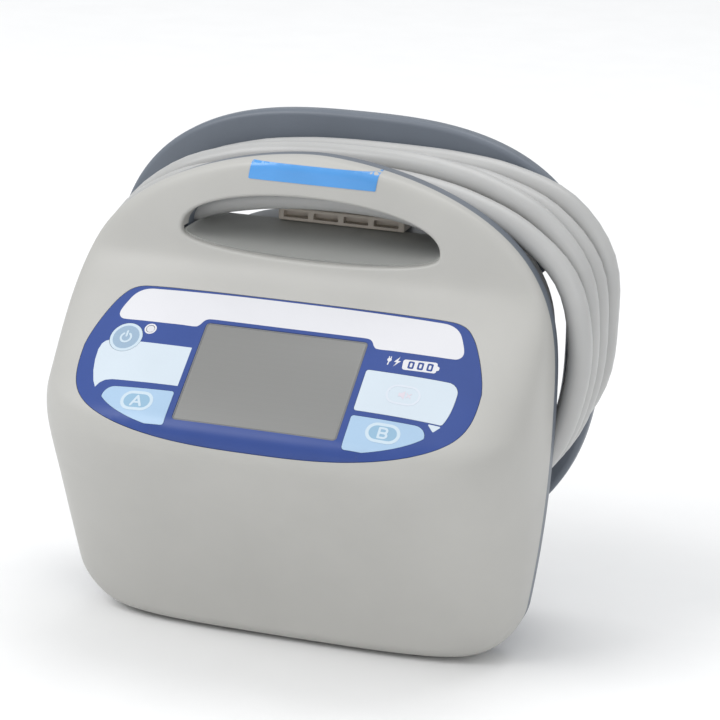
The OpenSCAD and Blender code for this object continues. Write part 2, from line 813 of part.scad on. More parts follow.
module plunger_a() {
    plunger(0);
}

module plunger_b() {
    plunger(1);
}

fan_t = 10;
fan_half = 20;

module fan_frame() {
    color(black) in_place() translate([fan_at[0], neck_back - wall - 0.2 - fan_t, fan_at[1]]) {
        difference() {
            translate([-fan_half, 0, -fan_half]) cube([2 * fan_half, fan_t, 2 * fan_half]);
            rotate([-90, 0, 0]) translate([0, 0, -1]) cylinder(h = fan_t + 2, r = fan_r + 1.5);
            for (x = [-16, 16], z = [-16, 16]) translate([x, -1, z])
                rotate([-90, 0, 0]) cylinder(h = fan_t + 2, r = 1.7);
        }
        for (a = [20, 110]) rotate([0, a, 0])
            translate([-fan_r - 2, fan_t - 1.8, -1]) cube([2 * fan_r + 4, 1.4, 2]);
        rotate([-90, 0, 0]) translate([0, 0, 2]) cylinder(h = fan_t - 3, r = 1.5);
    }
}

blades = 7;

module fan_rotor() {
    color([0.2, 0.2, 0.21]) in_place() translate([fan_at[0], neck_back - wall - 0.2 - fan_t, fan_at[1]])
        rotate([-90, 0, 0]) difference() {
            union() {
                translate([0, 0, 0.6]) cylinder(h = 7.2, r = 7);
                intersection() {
                    for (i = [0 : blades - 1]) rotate([0, 0, 360 * i / blades]) translate([12, 0, 4.2])
                        rotate([35, 0, 0]) cube([12, 8, 0.9], center = true);
                    translate([0, 0, 0.6]) cylinder(h = 7.2, r = fan_r);
                }
            }
            translate([0, 0, 0]) cylinder(h = 12, r = 1.55);
        }
}

port_y = 39.2;
port_z = 57.2;
port_front = 34.8;
port_rear = 43.9;
port_low = 52.3;
socket_b_z = 58.4;      // socket B looks over the hook's lower bar
port_half_w = 18;
socket_r = 3.5;
socket_d = 10;
stem_x = 8;
stem_y = 36.4;
stem_r = 2.1;

// Twin sockets under the neck: A opens to +X, B to -X, with stems into the neck
module port_block() {
    color(black) in_place() difference() {
        union() {
            translate([-port_half_w, port_front, port_low])
                cube([2 * port_half_w, port_rear - port_front, neck_bottom - port_low - 0.1]);
            for (s = [-1, 1]) translate([s * stem_x, stem_y, 60]) cylinder(h = 9, r = stem_r);
        }
        // Socket A looks sideways along the winding, socket B to the rear
        translate([port_half_w - socket_d, port_y, port_z])
            rotate([0, 90, 0]) cylinder(h = socket_d + 1, r = socket_r);
        translate([-stem_x, port_rear + 1, socket_b_z])
            rotate([90, 0, 0]) cylinder(h = port_rear + 1 - stem_y, r = socket_r);
        for (s = [-1, 1]) translate([s * stem_x, stem_y, port_z]) cylinder(h = 20, r = 1.2);
    }
}

tube_r = 1.7;

// A soft tube with round elbows through the given points
module elbow_tube(points) {
    for (i = [1 : len(points) - 1]) {
        run = points[i] - points[i - 1];
        translate(points[i - 1]) rotate([0, acos(run[2] / norm(run)), atan2(run[1], run[0])])
            cylinder(h = norm(run), r = tube_r);
        if (i < len(points) - 1) translate(points[i]) sphere(tube_r);
    }
}

// Silicone tubes from the pump's heads to the valves, and from the valves to the ports
module air_tubes() {
    head_y = pump_at[1] + 7;
    head_z = pump_at[2] - head_r;
    run_z = 80;
    low_z = 73;
    color([0.85, 0.88, 0.86]) in_place() {
        elbow_tube([[pump_at[0] - 22, head_y, head_z], [pump_at[0] - 22, head_y, run_z], [2, head_y, run_z],
            [2, valve_at[1], run_z], [valve_at[0] - 23, valve_at[1], run_z]]);
        elbow_tube([[pump_at[0] + 22, head_y, head_z], [pump_at[0] + 22, head_y, run_z]]);
        elbow_tube([[stem_x, stem_y, 69], [stem_x, stem_y, low_z], [stem_x, valve_at[1], low_z],
            [valve_at[0], valve_at[1], low_z], [valve_at[0], valve_at[1], valve_at[2]]]);
        elbow_tube([[-stem_x, stem_y, 69], [-stem_x, stem_y, low_z], [-stem_x, 7, low_z],
            [valve_at[0] + valve_gap - 4, 7, low_z], [valve_at[0] + valve_gap - 4, 7, valve_at[2]]]);
    }
}

// ---------- feet and screws ----------

feet_places = [[-46, -7], [46, -7], [-50, 34], [50, 34]];

module feet() {
    color(black) in_place() for (p = feet_places)
        translate([p[0], p[1], -foot_h]) cylinder(h = foot_h, r = 5.5);
}

module housing_screws() {
    color(metal_grey) in_place() for (p = boss_places) translate([p[0], 0, p[1]]) {
        upright(rim_d - 1.6, rim_d - 0.1) circle(2.6);
        upright(-6, rim_d - 1.6) circle(screw_r);
    }
}

// ---------- the hose and its fittings ----------

hose_mid = [10, 115];           // middle of the winding, across and up
first_bend = 36.9;              // radius of the first bend, from the connector downwards
lane_gap = hose_d + 0.5;        // spacing of the lanes
first_lane = 12;
// Reach of each turn from the middle, in the order it is wound
reach_right = [66, 63, 62, 83.5, 84, 85, 86.5];
reach_left = [82, 82, 82, 92, 92, 91, 91];
reach_up = [32.4, 42, 39.3, 48.5, 53, 50, 51];
reach_down = [61.9, 61.9, 61.9, 71, 71, 71, 71];
full_left = [2.4, 2.35, 2.4, 2.6, 2.5, 2.5, 2.5];
full_right = [2.3, 2.2, 2.1, 2.15, 2.35, 2.6, 3];
full_down = [2.8, 2.8, 2.8, 2.7, 2.7, 2.6, 2.5];
layer_step = 9.6;
port_drop = 13;
hose_end = 6.46;
rings_per_turn = 24;

function ease(t) = let (u = min(1, max(0, t))) u * u * (3 - 2 * u);
function shift(s, from, to) = ease((s - from) / (to - from));

// Depth of the strand after s turns: three lanes forward, then three lanes back
function lane(s) = first_lane + lane_gap * (2
    - shift(s, 0.66, 0.84) - shift(s, 1.66, 1.84)
    + shift(s, 3.42, 3.6) + shift(s, 4.42, 4.6) + shift(s, 5.42, 5.6));

// Middle line of the hose after s turns, wound clockwise from the top
function hose_point(s) =
    let (
        a = 90 - 360 * s,
        mid_z = s < 0.5 ? hose_first[2] - first_bend : hose_mid[1],
        k = min(6, floor(s)),
        top = min(6, round(s)),
        right = cos(a) >= 0,
        up = sin(a) >= 0,
        across = right ? reach_right[k] : reach_left[k] + (k == 2 ? layer_step * shift(s, 2.55, 2.72) : 0),
        along = up ? reach_up[top]
            : reach_down[k] + mid_z - hose_mid[1] + (k == 2 ? layer_step * shift(s, 2.55, 2.72) : 0)
              - (k == 6 ? port_drop * shift(s, 6.22, 6.42) : 0),
        n = up ? (right ? full_right[top] : full_left[top]) : full_down[k],
        r = 1 / pow(pow(abs(cos(a)) / across, n) + pow(abs(sin(a)) / along, n), 1 / n)
    )
    [hose_mid[0] + r * cos(a), lane(s), mid_z + r * sin(a)];

plug_face = 22;
hose_first = [30.5, first_lane + 2 * lane_gap, 147.2];
hose_last = [plug_face, first_lane + 3 * lane_gap, port_z];

// The whole hose: it leaves the connector straight, bends down, winds, and ends straight
function hose_path() =
    let (
        bend_mid = [hose_mid[0] + reach_right[0] - first_bend, lane(0), hose_first[2] - first_bend],
        count = round((hose_end - 0.25) * rings_per_turn)
    )
    concat(
        [hose_first],
        [for (t = [0 : 15 : 75]) bend_mid + first_bend * [sin(t), 0, cos(t)]],
        [for (i = [0 : count - 2]) hose_point(0.25 + (hose_end - 0.25) * i / count)],
        [hose_last + [hose_d, 0, 0], hose_last]
    );

function path_length(p) =
    [for (i = [1 : len(p) - 1]) norm(p[i] - p[i - 1])] * [for (i = [1 : len(p) - 1]) 1];

// Least distance between rings that are more than a third of a turn apart
function least_gap(p) =
    min([for (i = [0 : len(p) - 9]) for (j = [i + 8 : len(p) - 1]) norm(p[i] - p[j])]) - hose_d;

module hose() {
    path = hose_path();
    echo(hose_length = path_length(path), least_gap_to_itself = least_gap(path));
    color(hose_grey) in_place() swept_tube(path, hose_d / 2, 6, [0, 1, 0]);
}

// Barbed plug of the hose in socket A
module hose_plug() {
    color(beige) in_place() translate([0, hose_last[1], port_z]) rotate([0, 90, 0]) {
        translate([0, 0, port_half_w - socket_d + 0.5]) cylinder(h = socket_d - 0.5, r = socket_r - 0.1);
        translate([0, 0, port_half_w]) cylinder(h = plug_face - port_half_w, r = 4.2);
    }
}

connector_w = 47;
connector_face_h = 4.7;
connector_front = 22;

// The hose's far connector, with four flat sockets, laid on the deck
module sleeve_connector() {
    z0 = neck_top + 0.2;
    color(beige) in_place() difference() {
        union() {
            translate([-21, connector_front, z0]) cube([connector_w, 15, connector_face_h]);
            translate([-17, hose_first[1], hose_first[2]]) rotate([0, 90, 0]) cylinder(h = 41, r = 4.6);
            translate([23, hose_first[1], hose_first[2]])
                rotate([0, 90, 0]) cylinder(h = hose_first[0] - 23, r = 3.9);
        }
        for (i = [0 : 3]) translate([-19 + i * 11.2, connector_front - 1, z0 + 1.3])
            cube([9.2, 4.5, connector_face_h - 2.6]);
    }
}

front_cover();
handle_tray();
rear_housing();
rear_guard();
control_overlay();
lcd_window();
lcd_module();
display_board();
status_light();
power_key();
mute_key();
key_a();
key_b();
key_switches();
main_board();
battery_pack();
power_supply();
mains_inlet();
pump_body();
pump_rotor();
left_diaphragm();
right_diaphragm();
valve_block();
vent_plunger();
plunger_a();
plunger_b();
fan_frame();
fan_rotor();
port_block();
air_tubes();
bed_hook();
hook_pads();
hook_pin();
hook_springs();
feet();
housing_screws();
guard_screws();
hose();
hose_plug();
sleeve_connector();
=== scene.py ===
"""Looks of a compression therapy pump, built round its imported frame.

The moulded form, the printed panel and the reel are drawn in millimetres in the housing's own
frame: x to the right, y towards the back with y = 0 at the seam of the cover, z up from the base.
housing_point() puts such a point into the row frame, in metres. The hose's route is in metres.
"""

import json
import logging
import math
from dataclasses import dataclass, field
from enum import Enum
from typing import Callable, Iterable, Sequence

import bpy
import numpy as np
from mathutils import Matrix, Vector
from mathutils.geometry import delaunay_2d_cdt

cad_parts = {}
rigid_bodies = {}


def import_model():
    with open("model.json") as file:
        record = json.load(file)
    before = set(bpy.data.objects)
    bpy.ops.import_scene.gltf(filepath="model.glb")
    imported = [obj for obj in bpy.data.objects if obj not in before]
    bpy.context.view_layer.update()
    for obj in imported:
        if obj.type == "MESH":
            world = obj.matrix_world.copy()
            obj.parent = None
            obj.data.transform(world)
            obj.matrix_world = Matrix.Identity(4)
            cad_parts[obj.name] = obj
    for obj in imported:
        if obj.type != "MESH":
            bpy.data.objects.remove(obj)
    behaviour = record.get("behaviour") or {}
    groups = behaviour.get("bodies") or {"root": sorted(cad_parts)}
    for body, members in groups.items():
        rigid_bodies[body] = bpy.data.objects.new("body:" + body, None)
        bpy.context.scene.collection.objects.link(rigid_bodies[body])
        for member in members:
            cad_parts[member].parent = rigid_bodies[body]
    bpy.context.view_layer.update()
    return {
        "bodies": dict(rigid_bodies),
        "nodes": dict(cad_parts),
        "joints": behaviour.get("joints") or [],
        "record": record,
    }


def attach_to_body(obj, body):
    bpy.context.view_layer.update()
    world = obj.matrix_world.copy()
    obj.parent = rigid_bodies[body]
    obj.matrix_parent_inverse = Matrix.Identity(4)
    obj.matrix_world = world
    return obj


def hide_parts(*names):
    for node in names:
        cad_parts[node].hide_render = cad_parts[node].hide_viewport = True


MM = 0.001
HOUSING_SHIFT = np.array([0.0, 5.165, 1.2])  # housing frame to row frame, in millimetres
CASING = "casing"

log = logging.getLogger("pump")

Array = np.ndarray
Placing = Callable[[Array, Array, Array], Array]
Tree, Node, Socket = bpy.types.NodeTree, bpy.types.Node, bpy.types.NodeSocket


class Side(Enum):
    """The two hands of a mirrored piece, seen from the front."""

    LEFT = -1
    RIGHT = 1


class Grain(Enum):
    """How a moulded surface is textured: the share of bump strength."""

    SMOOTH = 0.02
    SATIN = 0.08
    SPARKED = 0.16


# ---------------------------------------------------------------- finishes

def add_node(tree: Tree, kind: str, inputs: dict[str, object]) -> Node:
    """Adds a shader node.

    Args:
        tree: The material's node tree.
        kind: The node's type without its prefix.
        inputs: For each named input, a socket to link or a value to set.

    Returns:
        The node.
    """
    node = tree.nodes.new("ShaderNode" + kind)
    for name, given in inputs.items():
        if isinstance(given, Socket):
            tree.links.new(given, node.inputs[name])
        else:
            node.inputs[name].default_value = given
    return node


def object_place(tree: Tree) -> Socket:
    """The object's own coordinates."""
    return tree.nodes.new("ShaderNodeTexCoord").outputs["Object"]


@dataclass(frozen=True)
class Finish:
    """A procedural surface finish.

    Args:
        name: The material's name.
        colour: Its mean colour as sRGB values from 0 to 255.
        roughness: The mean roughness.
        mottle: How far the colour wanders from the mean, as a share.
        grain: How strongly the fine texture stands out.
        grain_size: The size of that texture in metres.
    """

    name: str
    colour: tuple[float, float, float]
    roughness: float = 0.5
    mottle: float = 0.03
    grain: Grain = Grain.SATIN
    grain_size: float = 0.0006
    metallic: float = 0.0
    coat: float = 0.0
    specular: float = 0.5

    def linear(self, factor: float = 1.0) -> tuple[float, float, float, float]:
        """The colour times factor, as linear RGBA."""
        values = []
        for channel in self.colour:
            c = min(1.0, channel / 255 * factor)
            values.append(c / 12.92 if c <= 0.04045 else ((c + 0.055) / 1.055) ** 2.4)
        return (*values, 1.0)

    def build(self) -> bpy.types.Material:
        """Makes the node material.

        Returns:
            The material, the same one each time it is asked for.
        """
        known = bpy.data.materials.get(self.name)
        if known:
            return known
        material = bpy.data.materials.new(self.name)
        material.use_nodes = True
        tree = material.node_tree
        shader = tree.nodes["Principled BSDF"]
        shader.inputs["Metallic"].default_value = self.metallic
        shader.inputs["Coat Weight"].default_value = self.coat
        shader.inputs["Coat Roughness"].default_value = 0.12
        shader.inputs["Specular IOR Level"].default_value = self.specular
        self.dress(tree, shader)
        return material

    def dress(self, tree: Tree, shader: Node) -> None:
        """Adds the colour, roughness and bump of this finish to its tree."""
        place = object_place(tree)
        self.cloud_colour(tree, shader, place)
        self.uneven_roughness(tree, shader, place)
        fine = self.noise(tree, place, 1 / self.grain_size, 3.0)
        self.bump(tree, shader, fine, self.grain.value, 0.0001)

    def noise(self, tree: Tree, place: Socket, scale: float, detail: float) -> Socket:
        """The value of a noise in object space."""
        return add_node(tree, "TexNoise", {"Vector": place, "Scale": scale, "Detail": detail}).outputs["Fac"]

    def colour_ramp(
        self, tree: Tree, shader: Node, share: Socket, low: tuple[float, float], high: tuple[float, float]
    ) -> Node:
        """Colours the shader by a share.

        Args:
            tree: The material's node tree.
            shader: The shader that takes the colour.
            share: The value that picks the colour.
            low: The ramp's first stop, as its position and its brightness.
            high: The ramp's second stop.

        Returns:
            The ramp.
        """
        ramp = add_node(tree, "ValToRGB", {"Fac": share})
        for element, (position, factor) in zip(ramp.color_ramp.elements, (low, high)):
            element.position = position
            element.color = self.linear(factor)
        tree.links.new(ramp.outputs["Color"], shader.inputs["Base Color"])
        return ramp

    def cloud_colour(self, tree: Tree, shader: Node, place: Socket) -> None:
        """Lets the base colour wander a little over a few centimetres."""
        cloud = self.noise(tree, place, 28.0, 5.0)
        self.colour_ramp(tree, shader, cloud, (0.32, 1 - self.mottle), (0.68, 1 + self.mottle))

    def spread_roughness(self, tree: Tree, shader: Node, value: Socket, low: float, high: float) -> None:
        """Lets a value from 0 to 1 move the roughness between two limits."""
        spread = add_node(tree, "MapRange", {"Value": value, "To Min": low, "To Max": high})
        tree.links.new(spread.outputs["Result"], shader.inputs["Roughness"])

    def uneven_roughness(self, tree: Tree, shader: Node, place: Socket) -> None:
        """Varies the roughness, as handling does."""
        low, high = max(0.02, self.roughness - 0.06), min(1.0, self.roughness + 0.06)
        self.spread_roughness(tree, shader, self.noise(tree, place, 60.0, 6.0), low, high)

    def bump(self, tree: Tree, shader: Node, height: Socket, strength: float, distance: float) -> None:
        """Turns a height into the shader's normal."""
        node = add_node(tree, "Bump", {"Strength": strength, "Distance": distance, "Height": height})
        tree.links.new(node.outputs["Normal"], shader.inputs["Normal"])


@dataclass(frozen=True)
class BrushedMetal(Finish):
    """Metal with fine streaks along one axis."""

    streak: tuple[float, float, float] = (20.0, 900.0, 900.0)

    def dress(self, tree: Tree, shader: Node) -> None:
        """Adds streaks to the roughness and the bump."""
        place = object_place(tree)
        self.cloud_colour(tree, shader, place)
        stretch = add_node(tree, "Mapping", {"Vector": place, "Scale": self.streak})
        lines = self.noise(tree, stretch.outputs["Vector"], 1.0, 4.0)
        self.spread_roughness(tree, shader, lines, self.roughness - 0.08, self.roughness + 0.12)
        self.bump(tree, shader, lines, 0.1, 0.00005)


@dataclass(frozen=True)
class CircuitBoard(Finish):
    """Solder mask with tracks that show through as a raised pattern."""

    pitch: float = 0.0016

    def dress(self, tree: Tree, shader: Node) -> None:
        """Adds the tracks to the colour and the bump."""
        place = object_place(tree)
        tracks = add_node(tree, "TexVoronoi", {"Vector": place, "Scale": 1 / (4 * self.pitch)})
        tracks.distance = "MANHATTAN"
        distance = tracks.outputs["Distance"]
        ramp = self.colour_ramp(tree, shader, distance, (0.0, 1.25), (0.45, 0.9))
        ramp.color_ramp.interpolation = "CONSTANT"
        self.uneven_roughness(tree, shader, place)
        self.bump(tree, shader, distance, 0.2, 0.0001)


@dataclass(frozen=True)
class DisplayGlass(Finish):
    """A satin window over a grey display: a faint grid of cells under a glossy coat."""

    cell: float = 0.00045

    def dress(self, tree: Tree, shader: Node) -> None:
        """Adds the cells of the display and the window's soft sheen."""
        place = object_place(tree)
        cells = add_node(tree, "TexVoronoi", {"Vector": place, "Scale": 1 / self.cell, "Randomness": 0.0})
        cells.distance = "CHEBYCHEV"
        self.colour_ramp(tree, shader, cells.outputs["Distance"], (0.0, 1.01), (0.6, 0.965))
        self.uneven_roughness(tree, shader, place)


@dataclass(frozen=True)
class HoseSkin(Finish):
    """Extruded soft tube: a fine grain and a slight cloudiness."""

    def dress(self, tree: Tree, shader: Node) -> None:
        """Adds a little light under the skin to the plain moulded look."""
        shader.inputs["Subsurface Weight"].default_value = 0.12
        shader.inputs["Subsurface Radius"].default_value = (0.004, 0.0035, 0.003)
        shader.inputs["Subsurface Scale"].default_value = 0.4
        super().dress(tree, shader)


def ink(
    name: str, colour: tuple[float, float, float], roughness: float, mottle: float, specular: float = 0.4
) -> Finish:
    """A smooth print with a soft sheen."""
    return Finish(name, colour, roughness, mottle, Grain.SMOOTH, 0.0008, specular=specular)


COVER = Finish("cover_moulding", (178, 177, 173), 0.46, 0.012, Grain.SPARKED, 0.0005)
TRAY = Finish("tray_moulding", (168, 169, 166), 0.50, 0.015, Grain.SPARKED, 0.0005)
HOUSING = Finish("slate_moulding", (100, 107, 117), 0.44, 0.03, Grain.SPARKED, 0.0006)
OVERLAY_BLUE = ink("overlay_blue", (50, 73, 137), 0.36, 0.035, 0.3)
PRINT_WHITE = ink("print_white", (213, 213, 217), 0.38, 0.008)
FIELD_PALE = ink("field_pale", (197, 208, 217), 0.36, 0.012)
FIELD_BLUE = ink("field_blue", (159, 186, 211), 0.36, 0.02)
KEY_SHADE = ink("key_shade", (138, 172, 196), 0.38, 0.02)
KEY_RING = ink("key_ring", (190, 206, 217), 0.36, 0.01)
POWER_SHADE = ink("power_shade", (143, 166, 187), 0.38, 0.02)
MUTE_TINT = ink("mute_tint", (208, 200, 209), 0.38, 0.01)
MUTE_RING = ink("mute_ring", (204, 211, 220), 0.38, 0.01)
LABEL_BLUE = Finish("label_blue", (76, 147, 213), 0.3, 0.05, Grain.SMOOTH, 0.0009, coat=0.2)
SCREEN = DisplayGlass("display_window", (128, 128, 126), 0.32, 0.02, Grain.SMOOTH, coat=0.1)
SCREEN_FRAME = Finish("display_frame", (113, 114, 117), 0.4, 0.02, Grain.SATIN)
LIGHT_PIPE = Finish("light_pipe", (208, 209, 213), 0.25, 0.01, Grain.SMOOTH, coat=0.4)
CONNECTOR = Finish("connector_moulding", (188, 179, 168), 0.48, 0.03, Grain.SATIN, 0.0005)
HOSE = HoseSkin("hose_skin", (178, 178, 177), 0.36, 0.02, Grain.SMOOTH, 0.0012, coat=0.1)
BLACK = Finish("black_moulding", (40, 41, 44), 0.5, 0.04, Grain.SATIN, 0.0006)
RUBBER = Finish("rubber", (38, 38, 40), 0.72, 0.05, Grain.SATIN, 0.0005)
STEEL = BrushedMetal("steel", (186, 189, 193), 0.34, 0.03, metallic=1.0)
BRASS = BrushedMetal("brass", (214, 174, 104), 0.32, 0.04, metallic=1.0)
BOARD = CircuitBoard("board", (28, 92, 58), 0.4, 0.03)
BATTERY = Finish("cell_sleeve", (74, 112, 176), 0.3, 0.04, Grain.SMOOTH, 0.002, coat=0.3)
SUPPLY = Finish("supply_parts", (204, 192, 150), 0.5, 0.06, Grain.SATIN, 0.0012)
NATURAL = Finish("natural_moulding", (220, 219, 212), 0.42, 0.02, Grain.SATIN, 0.0008)
SILICONE = Finish("silicone", (216, 222, 218), 0.4, 0.02, Grain.SMOOTH, 0.001)

NODE_FINISHES = {
    "lcd_module": STEEL, "display_board": BOARD, "status_light": LIGHT_PIPE,
    "key_switches": BLACK, "main_board": BOARD, "battery_pack": BATTERY,
    "power_supply": SUPPLY, "mains_inlet": BLACK, "pump_body": STEEL, "pump_rotor": BRASS,
    "left_diaphragm": RUBBER, "right_diaphragm": RUBBER, "valve_block": NATURAL,
    "vent_plunger": STEEL, "plunger_a": STEEL, "plunger_b": STEEL, "fan_frame": BLACK,
    "fan_rotor": BLACK, "port_block": BLACK, "air_tubes": SILICONE, "hook_pin": STEEL,
    "feet": RUBBER, "housing_screws": STEEL, "guard_screws": STEEL, "hook_pads": RUBBER,
    "hose_plug": CONNECTOR,
}


# ---------------------------------------------------------------- outlines


def housing_point(x: Array, y: Array, z: Array) -> Array:
    """Points of the housing's frame, in millimetres, as rows of the row frame, in metres."""
    points = np.stack(np.broadcast_arrays(x, y, z), -1).astype(float)
    return (points + HOUSING_SHIFT) * MM


def flat_power(value: Array, exponent: float) -> Array:
    """The sign of value times its size to the exponent."""
    return np.sign(value) * np.abs(value) ** exponent


def circle(centre: tuple[float, float], radius: float, count: int = 40) -> Array:
    """A round outline, counter-clockwise."""
    t = np.linspace(0, 2 * math.pi, count, endpoint=False)
    return np.stack([centre[0] + radius * np.cos(t), centre[1] + radius * np.sin(t)], -1)


def oval(half_w: float, up: float, down: float, n_up: float, n_down: float, count: int) -> Array:
    """A superellipse with its own rise and drop, counter-clockwise from the right."""
    t = np.linspace(0, 2 * math.pi, count, endpoint=False)
    c, s = np.cos(t), np.sin(t)
    n = np.where(s >= 0, n_up, n_down)
    reach = np.where(s >= 0, up, down)
    return np.stack([half_w * flat_power(c, 2 / n), reach * flat_power(s, 2 / n)], -1)


def softened(corners: Array, radius: float, step: float = math.pi / 12) -> Array:
    """A convex outline grown by radius with round corners.

    Args:
        corners: The outline's points, counter-clockwise.
        radius: How far it grows.
        step: The angle between two points of a corner's arc.

    Returns:
        The grown outline, counter-clockwise.
    """
    made = []
    count = len(corners)
    edges = np.roll(corners, -1, 0) - corners
    angles = np.arctan2(edges[:, 1], edges[:, 0]) - math.pi / 2
    for i in range(count):
        start, end = angles[i - 1], angles[i]
        turn = (end - start) % (2 * math.pi)
        parts = max(1, math.ceil(turn / step))
        for k in range(parts + 1):
            a = start + turn * k / parts
            made.append(corners[i] + radius * np.array([math.cos(a), math.sin(a)]))
    return np.array(made)


def rounded_rect(width: float, height: float, radius: float, centre: tuple[float, float] = (0, 0)) -> Array:
    """A rectangle with round corners, counter-clockwise."""
    a, b = width / 2 - radius, height / 2 - radius
    corners = np.array([[a, -b], [a, b], [-a, b], [-a, -b]]) + np.array(centre)
    return softened(corners, radius)


def stroke(points: Sequence[tuple[float, float]], width: float) -> list[Array]:
    """A pen stroke through points, as one round-ended outline for each piece of it."""
    lines = []
    for a, b in zip(points, points[1:]):
        lines.append(softened(np.array([a, b], float), width / 2))
    return lines


def divided(outline: Array, step: float) -> Array:
    """The same outline with points added, so that none is farther than step from the next."""
    made = []
    for a, b in zip(outline, np.roll(outline, -1, 0)):
        parts = max(1, math.ceil(float(np.linalg.norm(b - a)) / step))
        made.extend(a + (b - a) * k / parts for k in range(parts))
    return np.array(made)


def inside(points: Array, outline: Array) -> Array:
    """Which of the points lie inside the outline."""
    x, y = points[:, 0][:, None], points[:, 1][:, None]
    a, b = outline, np.roll(outline, -1, 0)
    crosses = (a[:, 1] > y) != (b[:, 1] > y)
    rise = np.where(np.abs(b[:, 1] - a[:, 1]) < 1e-12, 1e-12, b[:, 1] - a[:, 1])
    at = a[:, 0] + (y - a[:, 1]) * (b[:, 0] - a[:, 0]) / rise
    return (np.sum(crosses & (x < at), 1) % 2).astype(bool)


def loop_edges(loops: Sequence[Array]) -> tuple[list[tuple[float, float]], list[tuple[int, int]]]:
    """The points of closed loops, and the edges between them as point numbers."""
    points, edges = [], []
    for loop in loops:
        first = len(points)
        points.extend(map(tuple, loop))
        edges.extend((first + i, first + (i + 1) % len(loop)) for i in range(len(loop)))
    return points, edges



@dataclass
class Drawing:
    """A flat drawing: solid outlines, and holes cut out of all of them."""

    solids: list[Array]
    holes: list[Array] = field(default_factory=list)

    def covers(self, points: Array) -> Array:
        """Which of the points lie on the drawing."""
        found = np.zeros(len(points), bool)
        for outline in self.solids:
            found |= inside(points, outline)
        for outline in self.holes:
            found &= ~inside(points, outline)
        return found

    def triangles(self, spacing: float) -> tuple[Array, list[tuple[int, int, int]]]:
        """Cuts the drawing into triangles.

        Args:
            spacing: The distance between the points inside it.

        Returns:
            The points and the triangles, counter-clockwise.
        """
        points, edges = loop_edges([divided(loop, spacing * 0.7) for loop in self.solids + self.holes])
        rim = np.array(points)
        low, high = rim.min(0), rim.max(0)
        if spacing < max(high - low):
            xs = np.arange(low[0] + spacing / 2, high[0], spacing)
            ys = np.arange(low[1] + spacing / 2, high[1], spacing)
            grid = np.stack(np.meshgrid(xs, ys), -1).reshape(-1, 2)
            grid = grid[self.covers(grid)]
            if len(grid):
                gap = np.min(np.linalg.norm(grid[:, None] - rim[None], axis=2), 1)
                points.extend(map(tuple, grid[gap > spacing * 0.45]))
        vectors = [Vector((float(p[0]), float(p[1]))) for p in points]
        made = delaunay_2d_cdt(vectors, edges, [], 0, 1e-5)
        corners = np.array([tuple(v) for v in made[0]])
        faces = np.array([f for f in made[2] if len(f) == 3])
        kept = faces[self.covers(corners[faces].mean(1))]
        return corners, [tuple(int(i) for i in f) for f in kept]


# ---------------------------------------------------------------- meshes


def enclosed_volume(points: Array, faces: Sequence[Sequence[int]]) -> float:
    """The volume inside closed faces, negative where they face inwards."""
    fans = np.array([(f[0], f[i], f[i + 1]) for f in faces for i in range(1, len(f) - 1)])
    a, b, c = (points[fans[:, k]] - points[0] for k in range(3))
    return float(np.sum(a * np.cross(b, c)) / 6)


def piece(
    name: str,
    points: Iterable[Sequence[float]],
    faces: Iterable[Sequence[int]],
    finish: Finish,
    sharp_angle: float = 35.0,
) -> bpy.types.Object:
    """A smooth-shaded object whose edges stay sharp above an angle.

    Args:
        name: The piece's name.
        points: Its corners in the row frame, in metres.
        faces: Its closed faces; they are turned outwards together where they face in.
        finish: Its surface finish.
        sharp_angle: The angle in degrees above which an edge stays sharp.

    Returns:
        The new object, linked to the scene.
    """
    places = np.array(points, float)
    loops = [tuple(int(i) for i in f) for f in faces]
    if enclosed_volume(places, loops) < 0:
        loops = [f[::-1] for f in loops]
    mesh = bpy.data.meshes.new(name)
    mesh.from_pydata([tuple(p) for p in places.tolist()], [], loops)
    mesh.validate()
    made = bpy.data.objects.new(name, mesh)
    bpy.context.scene.collection.objects.link(made)
    made.data.materials.append(finish.build())
    shade(made, sharp_angle)
    return made


def shade(made: bpy.types.Object, sharp_angle: float) -> None:
    """Shades the object smooth and marks its edges above the angle, in degrees, as sharp."""
    made.data.shade_smooth()
    made.data.set_sharp_from_angle(angle=math.radians(sharp_angle))


def attach(made: bpy.types.Object, body: str, slot: str, *nodes: str) -> bpy.types.Object:
    """Lets the piece ride on a body and stand for CAD nodes.

    Args:
        made: The piece.
        body: The CAD body that it moves with.
        slot: The record's material slot; not used.
        nodes: The CAD nodes that it replaces.

    Returns:
        The piece.
    """
    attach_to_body(made, body)
    if nodes:
        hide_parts(*nodes)
    log.info("%s rides on %s, %d faces", made.name, body, len(made.data.polygons))
    return made


def slab_mesh(
    drawing: Drawing, placing: Placing, low: float, high: float, spacing: float
) -> tuple[Array, list[tuple[int, ...]]]:
    """A closed sheet over a drawing, between two heights of its placing.

    Returns:
        The points and the faces.
    """
    corners, tops = drawing.triangles(spacing)
    used = sorted({i for f in tops for i in f})
    number = {old: new for new, old in enumerate(used)}
    tops = [tuple(number[i] for i in f) for f in tops]
    corners = corners[used]
    count = len(corners)
    u, v = corners[:, 0], corners[:, 1]
    points = np.concatenate([placing(u, v, np.full(count, high)), placing(u, v, np.full(count, low))])
    edges = {}
    for a, b, c in tops:
        for edge in ((a, b), (b, c), (c, a)):
            edges[edge] = edges.get(edge, 0) + 1
    rim = [e for e in edges if (e[1], e[0]) not in edges]
    faces = list(tops)
    faces += [(c + count, b + count, a + count) for a, b, c in tops]
    faces += [(b, a, a + count, b + count) for a, b in rim]
    return points, faces


